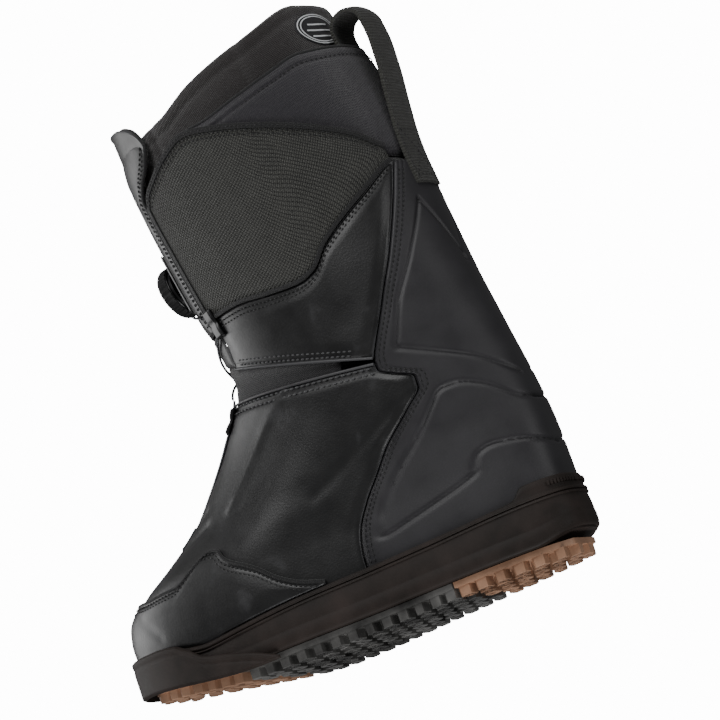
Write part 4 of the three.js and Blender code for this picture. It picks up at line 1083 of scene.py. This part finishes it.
LACE_OUT = PANEL_OUT + 1.1
CUFF_TURN = [(143.2, 212, 0.4), (139.5, 210.5, 0.4), (137.3, 207.5, 0.4), (137, 203.5, 0.4),
             (138.5, 200, 0.4), (142, 197.5, 0.4)]
THROAT_RUN = [(157.2, 162, 1), (156.2, 157, 0.4), (155.2, 150, 0.4), (155, 144, 0.4),
              (157, 134, 0.6), (161.5, 122, 1.2), (168, 109, 1.8), (173, 101, 1), (177, 97.5, 0.4)]
LACE_START = [(168, 221.4, 0.6), (163, 220, 1), (156, 217, 0.8), (150, 214.6, 0.4), (145.6, 212.8, 0.4)]


def lace(name, route, body, nodes, slack=1.0):
    path = dense(route, 1.0)
    line = skin(path[:, 0], path[:, 1], LACE_OUT + path[:, 2] * slack)
    normal = skin_normal(path[:, 0], path[:, 1])
    return finish_piece(sweep(name, line, normal, round_profile(0.8, 12)), MATERIALS["steel"],
                        body, nodes)


def build_lace():
    bend = ("lower_boot", "cuff", (0, -0.04, 0.163), (0, -0.04, 0.195))
    for side, flip, lift in (("medial", False, 0.0), ("lateral", True, 1.7)):
        cross = [*CUFF_TURN, (150, 192.5, 0.4 + lift * 0.5), (162, 185.5, lift),
                 (173, 179.3, lift - 1.2), (183, 173.8, lift - 1.8), (193, 168.3, lift * 0.6 - 1.2),
                 (202.6, 163, 0.4)]
        turn = mirror if flip else list
        lace(f"lace_upper_{side}", turn(LACE_START), "tongue", [f"lace_upper_{side}"])
        lace(f"lace_cross_{side}", turn(cross), bend, [f"lace_cross_{side}"])
        for part, (p0, p1), (z0, z1), body in (("cuff", (133.5, 140.6), (196, 214), "cuff"),
                                               ("vamp", (152.2, 156), (144, 157), "lower_boot")):
            a, b = (360 - p1, 360 - p0) if flip else (p0, p1)
            block = Patch(fixed(a), fixed(b), fixed(z0), fixed(z1), 0.6)
            shape = -0.9 * np.exp(-((block.bottom - block.top) / 5.0) ** 2)
            name = f"guide_{part}_{side}"
            finish_piece(shell(name, block, LACE_OUT + 2.3, 3.1, 1.4, shape), MATERIALS["plastic"],
                         body, [name])
    lace("lace_lower", [*THROAT_RUN, (180, 96.8, 0.4), *mirror(THROAT_RUN)[::-1]], "lower_boot",
         ["lace_lower"], -0.3)
    block = Patch(fixed(172.6), fixed(187.4), fixed(92), fixed(102), 0.6)
    finish_piece(shell("guide_toe", block, LACE_OUT + 2.3, 3.1, 1.4), MATERIALS["plastic"],
                 "lower_boot", ["guide_toe"])


# ---- liner --------------------------------------------------------------------------------
LINER_STEP = 3.6  # the liner stands in this far at the heel to clear the pull loop


def build_liner():
    M = MATERIALS
    base = BOARD_TOP + 0.4
    foot = ring_shell("liner_foot", lambda p: base + rise(skin(p, 24.0)[..., 1]), lower_rim,
                      LINER_OUT, LINER_THICK, 2.5, (base, base + LINER_THICK))
    finish_piece(foot, M["liner"], "lower_boot", ["liner_foot"])
    bed_low = base + LINER_THICK + 0.4
    phi = np.arange(240) * 1.5
    rings = []
    for inset, level in ((0.9, 0.0), (0.0, 0.7), (0.0, 2.8), (0.9, 3.5)):
        ring = skin(phi, 32.0, LINER_OUT - LINER_THICK - 0.8 - inset)
        ring[:, 2] = bed_low + level + rise(ring[:, 1])
        rings.append(ring)
    faces = [grid_faces(4, 240, 0, True)] + [f[:, ::-1] for f in strip_cap(240)]
    faces += [f + 720 for f in strip_cap(240)]
    finish_piece(mesh_object("footbed", np.concatenate(rings), faces), M["foam"],
                 "lower_boot", ["footbed"])

    def set_back(patch):
        return -LINER_STEP * smooth(262, 280, patch.z) * smooth(40, 16, fold(patch.phi))
    cuff = Patch(fixed(-147), fixed(147), lining_rim, along(LINER_TOP), 2.2)
    seams = np.zeros_like(cuff.z)
    for angle in (-118, -62, 62, 118):
        seams -= 1.1 * np.exp(-((cuff.phi - angle) / 1.6) ** 2)
    seams -= 0.9 * np.exp(-((cuff.top - 9) / 1.6) ** 2)
    piece = shell("liner_cuff", cuff, LINER_OUT, LINER_THICK, 2.9, set_back(cuff) + seams + 0.3,
                  set_back(cuff))
    finish_piece(piece, M["liner"], "cuff", ["liner_cuff"])
    tongue = Patch(fixed(149), fixed(211), fixed(206), lambda p: along(LINER_TOP)(p) + 6, 2.2)
    lean = -3.5 * smooth(300, 330, tongue.z)
    finish_piece(shell("liner_tongue", tongue, LINER_OUT, LINER_THICK, 2.9,
                       lean - 0.8 * np.exp(-((tongue.top - 9) / 1.6) ** 2), lean),
                 M["liner"],
                 "cuff", ["liner_tongue"])
    build_label()


def build_label():
    """Oval label on the liner: a plain satin oval with a pale ring and bars."""
    centre, half = (14.0, 345.0), (18.0, 11.0)

    def on_liner(p, z, off):
        return skin(p, z, LINER_OUT + 0.5 + off - LINER_STEP * smooth(40, 16, fold(p)))

    def oval(scale, off):
        a = np.linspace(0, 2 * math.pi, 72, endpoint=False)
        p, z = centre[0] + half[0] * scale * np.cos(a), centre[1] + half[1] * scale * np.sin(a)
        return on_liner(p, z, off), skin_normal(p, z)
    rings = [oval(s, h)[0] for s, h in ((0.02, 0.5), (0.5, 0.5), (0.97, 0.5), (1.0, 0.25),
                                               (1.0, -0.9), (0.02, -0.9))]
    faces = [grid_faces(6, 72, 0, True), np.arange(72)[None], (np.arange(72) + 360)[None, ::-1]]
    finish_piece(mesh_object("liner_patch", np.concatenate(rings), faces), MATERIALS["patch"],
                 "cuff", ["liner_patch"])
    marks = []
    for scale in (0.9, 0.78):
        line, normal = oval(scale, 0.5)
        marks.append(sweep("mark", line, normal, band_profile(0.7, 0.25, 0.1, 1), True))
    for z, reach in ((348.0, 8.0), (344.0, 10.5), (340.0, 8.0)):
        p = np.linspace(centre[0] - reach, centre[0] + reach, 14)
        marks.append(sweep("mark", on_liner(p, np.full(14, z), 0.5), skin_normal(p, np.full(14, z)),
                           band_profile(1.1, 0.25, 0.1, 1)))
    finish_piece(join("liner_patch_mark", marks), MATERIALS["patch_mark"], "cuff")


# ---- sole ---------------------------------------------------------------------------------
def wall_out(phi):
    return 3.4 + 1.2 * smooth(90, 180, fold(phi))


def build_cupsole():
    n = 480
    phi = np.arange(n) * 360.0 / n
    y = skin(phi, 30.0)[:, 1]
    bead, lip = curve(y, BEAD), curve(y, LIP)
    base = CUPSOLE_BASE + rise(y)
    bevel = 5 * smooth(128, 152, y)
    out = wall_out(phi)
    low, heel = base + bevel, smooth(0.5, 3.0, lip - bead)
    rows = [(1.2 + 0 * out, low), (out - 0.6, low + 0.1), (out + 0.2, low + 0.9), (out + 0.55, low + 2.4),
            (out + 0.7, low + 4.4)]
    step = low + 4.4 + (bead - low - 11) * 0.25
    rows += [(out + 0.75, step), (out + 0.35, step + 0.9), (out + 0.4, step + 1.8)]
    span = bead - 5.2 - (step + 1.8)
    for t in (0.15, 0.35, 0.55, 0.75, 0.9, 1.0):
        rows.append((out + 0.4 + 0.25 * math.sin(math.pi * t) - 0.9 * t, step + 1.8 + span * t))
    for inset, bulge, drop, tall in ((0.5, 1.1, 5.0, 1.5), (0.7, 1.2, 3.2, 2.2)):
        for a in np.radians(range(0, 181, 30)):
            rows.append((out - inset + bulge * math.sin(a),
                         bead - drop + tall * (1 - math.cos(a)) / 2))
    rows += [(out - 0.9, bead - 0.7 + 0.2 * heel), (out - 0.9, bead - 0.5 + (lip - bead) * 0.5),
             (out - 1.0, lip - 1.0), (out - 1.4, lip - 0.3), (out - 2.0, lip), (1.4 + 0 * out, lip - 0.1),
             (1.3 + 0 * out, lip - 1)]
    points = []
    for off, height in rows:
        ring = skin(phi, 30.0, off)
        ring[:, 2] = height
        points.append(ring)
    floor = CUPSOLE_FLOOR + rise(skin(phi, 20.0)[:, 1])
    for t in (0.6, 0.3, 0.0):
        points.append(skin(phi, floor + (lip - floor) * t, 1.3))
    count = len(points)
    cap = strip_cap(n)
    faces = [grid_faces(count, n, 0, True)] + [f[:, ::-1] for f in cap]
    faces += [f + (count - 1) * n for f in cap]
    sole = mesh_object("cupsole", np.concatenate(points), faces, flat=42)
    finish_piece(sole, MATERIALS["sidewall"], "lower_boot", ["cupsole"])
    build_bumpers()


def build_bumpers():
    M = MATERIALS
    high_rule = [(104, 7), (110, 14), (118, 20), (125, 24.5), (130, 32), (134, 36.5), (142, 39),
                 (160, 41), (180, 42.2)]
    nu, nv = 260, 24
    phi = np.linspace(104, 256, nu)
    y = skin(phi, 30.0)[:, 1]
    low, high = CUPSOLE_BASE - 4.5 + rise(y), curve(fold(phi), high_rule)
    t = np.linspace(0, 1, nv)[:, None]
    z = low + (high - low) * t
    outer = skin(phi, 30.0, wall_out(phi) + 0.9 + 0.8)[None].repeat(nv, 0)
    normal = skin_normal(phi, np.full(nu, 30.0))[None]
    u = np.linspace(0, 1, nu)
    edge = np.minimum(np.minimum(z - low, high - z), np.minimum(u, 1 - u)[None] * 300)
    short = 1 - np.clip(edge / 1.6, 0, 1)
    swell = 2.6 - 1.6 * (1 - np.sqrt(np.clip(1 - short ** 2, 0, 1)))
    swell -= 0.5 * np.exp(-((high - z - 5.0) / 0.9) ** 2)
    front, back = outer + normal * swell[..., None], outer + normal * 0.0
    front[..., 2], back[..., 2] = z, z
    n, rim = nv * nu, border(nv, nu)
    nxt = np.roll(rim, -1)
    faces = [grid_faces(nv, nu), grid_faces(nv, nu, n)[:, ::-1],
             np.stack([rim, nxt, nxt + n, rim + n], -1)]
    points = np.concatenate([front.reshape(-1, 3), back.reshape(-1, 3)])
    finish_piece(mesh_object("toe_bumper", points, faces), M["sidewall"],
                 "lower_boot", ["toe_bumper"])
    bars = []
    for k in range(-9, 10):
        p = np.array([k * 1.9 - 0.62, k * 1.9 + 0.62])
        ring = skin(p, np.array([42.2, 42.2]), 3.0)
        line = np.linspace(ring[0], ring[1], 3)
        bars.append(sweep("bar", line, skin_normal(np.full(3, k * 1.9), np.full(3, 42.2)),
                          band_profile(2.6, 0.8, 0.3, 2)))
    finish_piece(join("heel_bumper_ribs", bars), M["sidewall"], "lower_boot")


def tread_edge(y, side):
    back, front = skin(0.0, 30.0)[1], skin(180.0, 30.0)[1]
    f = np.clip((back - y) / (back - front), 0, 1)
    phi = np.degrees(np.arccos(1 - 2 * f))
    inset = 1.4 + 3.2 * smooth(back - 22, back, y)
    return skin(phi if side > 0 else 360 - phi, 30.0, -inset)[..., 0]


def lug_object():
    """One lug, a unit across and high: tapered block with a worn edge and a sipe."""
    outline = [(-0.5, -0.5), (0.32, -0.5), (0.5, -0.3), (0.5, 0.5), (-0.32, 0.5), (-0.5, 0.3)]
    rows = []
    for size, height in ((0.84, 0.0), (0.93, 0.06), (0.97, 0.5), (1.0, 1.0)):
        rows += [(x * size, y * size, height) for x, y in outline]
    n = len(outline)
    faces = []
    for r in range(3):
        for k in range(n):
            m = (k + 1) % n
            faces.append((r * n + k, r * n + m, (r + 1) * n + m, (r + 1) * n + k))
    base = len(rows)
    for size, height in ((0.42, 0.0), (0.34, 0.22)):
        rows += [(x * size, y * size, height) for x, y in outline]
    for k in range(n):
        m = (k + 1) % n
        faces.append((m, k, base + k, base + m))
        faces.append((base + m, base + k, base + n + k, base + n + m))
    faces.append(tuple(base + n + k for k in range(n)))
    faces.append(tuple(3 * n + k for k in range(n)))
    mesh = bpy.data.meshes.new("lug")
    mesh.from_pydata(rows, [], faces)
    work = bmesh.new()
    work.from_mesh(mesh)
    bmesh.ops.recalc_face_normals(work, faces=work.faces)
    work.to_mesh(mesh)
    work.free()
    obj = bpy.data.objects.new("lug", mesh)
    bpy.context.scene.collection.objects.link(obj)
    return obj


def lug_tree():
    """Lugs: one block set on each point, sized by the point's own attribute."""
    tree = bpy.data.node_groups.new("Tread lugs", "GeometryNodeTree")
    face = tree.interface
    face.new_socket("Geometry", in_out="INPUT", socket_type="NodeSocketGeometry")
    face.new_socket("Lug", in_out="INPUT", socket_type="NodeSocketObject")
    face.new_socket("Depth", in_out="INPUT", socket_type="NodeSocketFloat")
    face.new_socket("Rubber", in_out="INPUT", socket_type="NodeSocketMaterial")
    face.new_socket("Geometry", in_out="OUTPUT", socket_type="NodeSocketGeometry")
    given = tree.nodes.new("NodeGroupInput").outputs
    block = node(tree, "GeometryNodeObjectInfo", {"Object": given["Lug"]})
    size = node(tree, "GeometryNodeInputNamedAttribute", {"Name": "Size"}, data_type="FLOAT_VECTOR")
    parts = node(tree, "ShaderNodeSeparateXYZ", {0: size.outputs[0]})
    scale = node(tree, "ShaderNodeCombineXYZ", {0: parts.outputs[0], 1: parts.outputs[1],
                                                2: given["Depth"]})
    tilt = node(tree, "ShaderNodeCombineXYZ", {0: parts.outputs[2]})
    turn = node(tree, "FunctionNodeEulerToRotation", {0: tilt.outputs[0]})
    placed = node(tree, "GeometryNodeInstanceOnPoints", {
        "Points": given["Geometry"], "Instance": block.outputs["Geometry"],
        "Rotation": turn.outputs[0], "Scale": scale.outputs[0]})
    real = node(tree, "GeometryNodeRealizeInstances", {0: placed.outputs[0]})
    done = node(tree, "GeometryNodeSetMaterial", {0: real.outputs[0], "Material": given["Rubber"]})
    tree.links.new(done.outputs[0], tree.nodes.new("NodeGroupOutput").inputs[0])
    return tree


def tread_plate(name, y0, y1):
    ys = np.linspace(y0, y1, 40)
    left, right = tread_edge(ys, -1), tread_edge(ys, 1)
    t = np.linspace(0, 1, 12)[:, None]
    x = left + (right - left) * t
    top, under = np.full_like(x, 9.1) + rise(ys), np.full_like(x, 5.7) + rise(ys)
    grid = np.broadcast_to(ys, x.shape)
    points = np.concatenate([np.stack([x, grid, top], -1).reshape(-1, 3),
                             np.stack([x, grid, under], -1).reshape(-1, 3)])
    n, rim = x.size, border(12, 40)
    nxt = np.roll(rim, -1)
    return mesh_object(name, points, [grid_faces(12, 40), grid_faces(12, 40, n)[:, ::-1],
                                      np.stack([rim, nxt, nxt + n, rim + n], -1)])


def build_treads(sizes):
    tree, block = lug_tree(), lug_object()
    zones = (("tread_heel", 76, 145.5, "gum", "gum_rubber", 6, 5),
             ("tread_midfoot", -65.5, 75, "lug_black", "lug_rubber", 13, 6),
             ("tread_toe", -141, -66.5, "gum", "gum_rubber", 7, 6))
    for name, y0, y1, key, slot, rows, across in zones:
        centres, spans = [], []
        step = (y1 - y0) / rows
        for r in range(rows):
            for c in range(across):
                shift = 0.22 * step * (1 if c % 2 else -1)
                y = y0 + (r + 0.5) * step + shift
                y = min(max(y, y0 + 0.36 * step), y1 - 0.36 * step)
                left, right = float(tread_edge(y, -1)), float(tread_edge(y, 1))
                wide = (right - left) / across
                tall = step * (0.72 if (r + c) % 3 else 0.6)
                centres.append((left + (c + 0.5) * wide, y, float(rise(y))))
                slope = (float(rise(y + 1)) - float(rise(y - 1))) / 2
                spans.append((wide * (0.84 if c % 2 else 0.78) * MM, tall * MM, math.atan(slope)))
        mesh = bpy.data.meshes.new(name)
        mesh.from_pydata([tuple(v * MM for v in p) for p in centres], [], [])
        attribute = mesh.attributes.new("Size", "FLOAT_VECTOR", "POINT")
        attribute.data.foreach_set("vector", np.array(spans, np.float32).ravel())
        obj = bpy.data.objects.new(name, mesh)
        bpy.context.scene.collection.objects.link(obj)
        apply_tree(obj, tree, {"Lug": block, "Depth": sizes.lug_depth, "Rubber": MATERIALS[key]})
        plate = tread_plate(name + "_plate", y0, y1)
        plate.data.materials.append(MATERIALS[key])
        finish_piece(join(name, [obj, plate]), MATERIALS[key], "lower_boot", [name])
    bpy.data.objects.remove(block)


# ---- stage --------------------------------------------------------------------------------
VIEW_ANGLE, VIEW_RISE, VIEW_ROLL, VIEW_DISTANCE = 118, -12, 19, 2.2
AIM = (0.0, 0.0, 0.170)
AIM_RIGHT, AIM_UP = 0.0424, 0.0059


def build_stage(sizes):
    a, e, roll = (math.radians(v) for v in (VIEW_ANGLE, VIEW_RISE, VIEW_ROLL))
    back = Vector((math.sin(a) * math.cos(e), -math.cos(a) * math.cos(e), math.sin(e)))
    right0 = Vector((math.cos(a), math.sin(a), 0))
    up0 = back.cross(right0)
    right = right0 * math.cos(roll) - up0 * math.sin(roll)
    up = right0 * math.sin(roll) + up0 * math.cos(roll)
    camera = bpy.data.objects.new("camera", bpy.data.cameras.new("camera"))
    bpy.context.scene.collection.objects.link(camera)
    aim = Vector(AIM) + right * AIM_RIGHT + up * AIM_UP
    place = aim + back * VIEW_DISTANCE
    camera.matrix_world = Matrix(((right.x, up.x, back.x, place.x), (right.y, up.y, back.y, place.y),
                                  (right.z, up.z, back.z, place.z), (0, 0, 0, 1)))
    camera.data.lens, camera.data.sensor_width = sizes.lens, 36
    bpy.context.scene.camera = camera
    reach = 1.6
    sheet = bpy.data.meshes.new("floor")
    sheet.from_pydata([(-reach, -reach, 0), (reach, -reach, 0), (reach, reach, 0),
                       (-reach, reach, 0)], [], [(0, 1, 2, 3)])
    floor = bpy.data.objects.new("floor", sheet)
    bpy.context.scene.collection.objects.link(floor)
    paint, tree, bsdf = start_material("Pale studio floor, matte paint", Roughness=0.8)
    bsdf.inputs["Base Color"].default_value = linear("#ececec")
    clear = node(tree, "ShaderNodeBsdfTransparent")
    mix = node(tree, "ShaderNodeMixShader", {0: node(tree, "ShaderNodeNewGeometry").outputs["Backfacing"],
                                             1: bsdf.outputs[0], 2: clear.outputs[0]})
    tree.links.new(mix.outputs[0], tree.nodes["Material Output"].inputs["Surface"])
    floor.data.materials.append(paint)
    floor.visible_shadow = floor.visible_diffuse = floor.visible_glossy = False
    world = bpy.data.worlds.new("studio")
    bpy.context.scene.world = world
    world.use_nodes = True
    tree = world.node_tree
    dim = node(tree, "ShaderNodeBackground", {"Color": (1, 1, 1, 1), "Strength": sizes.fill_light})
    tree.links.new(dim.outputs[0], tree.nodes["World Output"].inputs[0])
    bright = node(tree, "ShaderNodeBackground", {"Color": (1, 1, 1, 1), "Strength": sizes.backdrop})
    pick = node(tree, "ShaderNodeMixShader", {0: node(tree, "ShaderNodeLightPath").outputs[0],
                                              1: dim.outputs[0], 2: bright.outputs[0]})
    tree.links.new(pick.outputs[0], tree.nodes["World Output"].inputs[0])
    for name, sideways, lift, depth, wide, power in (
            ("key", -1.15, 1.0, 0.9, 1.2, sizes.key_light), ("rim", -1.3, -0.3, -0.6, 1.0, 10),
            ("top", -0.1, 1.6, 0.5, 1.0, 7), ("heel", 1.1, 0.7, 1.2, 0.8, 6),
            ("under", 0.3, -1.2, 0.9, 0.7, 16)):
        light = bpy.data.objects.new(name, bpy.data.lights.new(name, "AREA"))
        bpy.context.scene.collection.objects.link(light)
        light.data.size, light.data.energy = wide, power
        spot = Vector(AIM) + right * sideways + up * lift + back * depth
        light.location = spot
        light.rotation_euler = (Vector(AIM) - spot).to_track_quat("-Z", "Y").to_euler()


# ---- add-on -------------------------------------------------------------------------------
def colour_prop(name, description, code):
    return bpy.props.FloatVectorProperty(name=name, description=description, size=3, min=0, max=1,
                                         subtype="COLOR_GAMMA", default=[
                                             int(code[k:k + 2], 16) / 255 for k in (1, 3, 5)])


class BootSizes(bpy.types.PropertyGroup):
    lug_depth: bpy.props.FloatProperty(name="Lug depth", description="Height of the tread lugs",
                                       default=0.006, unit="LENGTH")
    thread_size: bpy.props.FloatProperty(name="Thread", description="Thickness of a stitch",
                                         default=0.0009, unit="LENGTH")
    lens: bpy.props.FloatProperty(name="Lens", description="Focal length of the camera",
                                  default=187.0, unit="CAMERA")
    key_light: bpy.props.FloatProperty(name="Key light", description="Power of the side light",
                                       default=20.0, unit="POWER")
    fill_light: bpy.props.FloatProperty(name="Fill light", description="Strength of the white room",
                                        default=0.17)
    backdrop: bpy.props.FloatProperty(name="Backdrop", description="Brightness of the white backdrop",
                                      default=14.0)


class BootColours(bpy.types.PropertyGroup):
    leather: colour_prop("Leather", "Vamp, toe cap, ankle bands and tongue", "#0d0d0e")
    backstay: colour_prop("Backstay", "Moulded heel and shaft piece", "#1e1d20")
    canvas: colour_prop("Canvas", "Woven panels of the cuff", "#4a4a46")
    sidewall: colour_prop("Sidewall", "Rubber wall of the sole", "#302825")
    gum: colour_prop("Gum", "Heel and toe lugs", "#b58d72")


def operator(idname, label, text, build):
    """Operator class for one group of pieces; build gets the scene's sizes and colours."""
    def execute(self, context):
        build(context.scene.boot_sizes, context.scene.boot_colours)
        return {"FINISHED"}
    return type("BOOT_OT_" + idname, (bpy.types.Operator,), {
        "bl_idname": "boot." + idname, "bl_label": label, "__doc__": text, "execute": execute})


OPERATORS = [
    operator("materials", "Materials", "Make every material", lambda s, c: make_materials(c)),
    operator("sole", "Sole", "Cupsole and bumpers", lambda s, c: build_cupsole()),
    operator("treads", "Treads", "Heel, midfoot and toe lugs", lambda s, c: build_treads(s)),
    operator("lower", "Lower shell", "Vamp, toe cap, throat and gusset", lambda s, c: build_lower()),
    operator("backstay", "Backstay", "Moulded heel and shaft piece", lambda s, c: build_backstay()),
    operator("cuff", "Cuff", "Panels, bands, collar and pull loop", lambda s, c: build_cuff()),
    operator("tongue", "Tongue", "Tongue, its root and pad", lambda s, c: build_tongue()),
    operator("reel", "Reel", "Rotary lace reel", lambda s, c: build_reel()),
    operator("lace", "Lace", "Steel lace and its guides", lambda s, c: build_lace()),
    operator("liner", "Liner", "Padded liner, footbed and label", lambda s, c: build_liner()),
    operator("stitches", "Stitches", "Every stitch row", lambda s, c: build_stitches(s)),
    operator("stage", "Stage", "Floor, lights and camera", lambda s, c: build_stage(s)),
]


class BOOT_PT_panel(bpy.types.Panel):
    """Sidebar panel that lists the boot's operators and sizes"""
    bl_idname = "BOOT_PT_panel"
    bl_label = "Snowboard Boot"
    bl_space_type = "VIEW_3D"
    bl_region_type = "UI"
    bl_category = "Boot"

    def draw(self, context):
        for group in (context.scene.boot_sizes, context.scene.boot_colours):
            for key in group.bl_rna.properties.keys():
                if key not in ("rna_type", "name"):
                    self.layout.prop(group, key)
        for item in OPERATORS:
            self.layout.operator(item.bl_idname)


CLASSES = [BootSizes, BootColours, *OPERATORS, BOOT_PT_panel]


def register():
    for item in CLASSES:
        bpy.utils.register_class(item)
    bpy.types.Scene.boot_sizes = bpy.props.PointerProperty(type=BootSizes)
    bpy.types.Scene.boot_colours = bpy.props.PointerProperty(type=BootColours)


def unregister():
    del bpy.types.Scene.boot_sizes, bpy.types.Scene.boot_colours
    for item in reversed(CLASSES):
        bpy.utils.unregister_class(item)


def main():
    register()
    for item in OPERATORS:
        getattr(bpy.ops.boot, item.bl_idname.split(".")[1])()


if __name__ == "__main__":
    main()
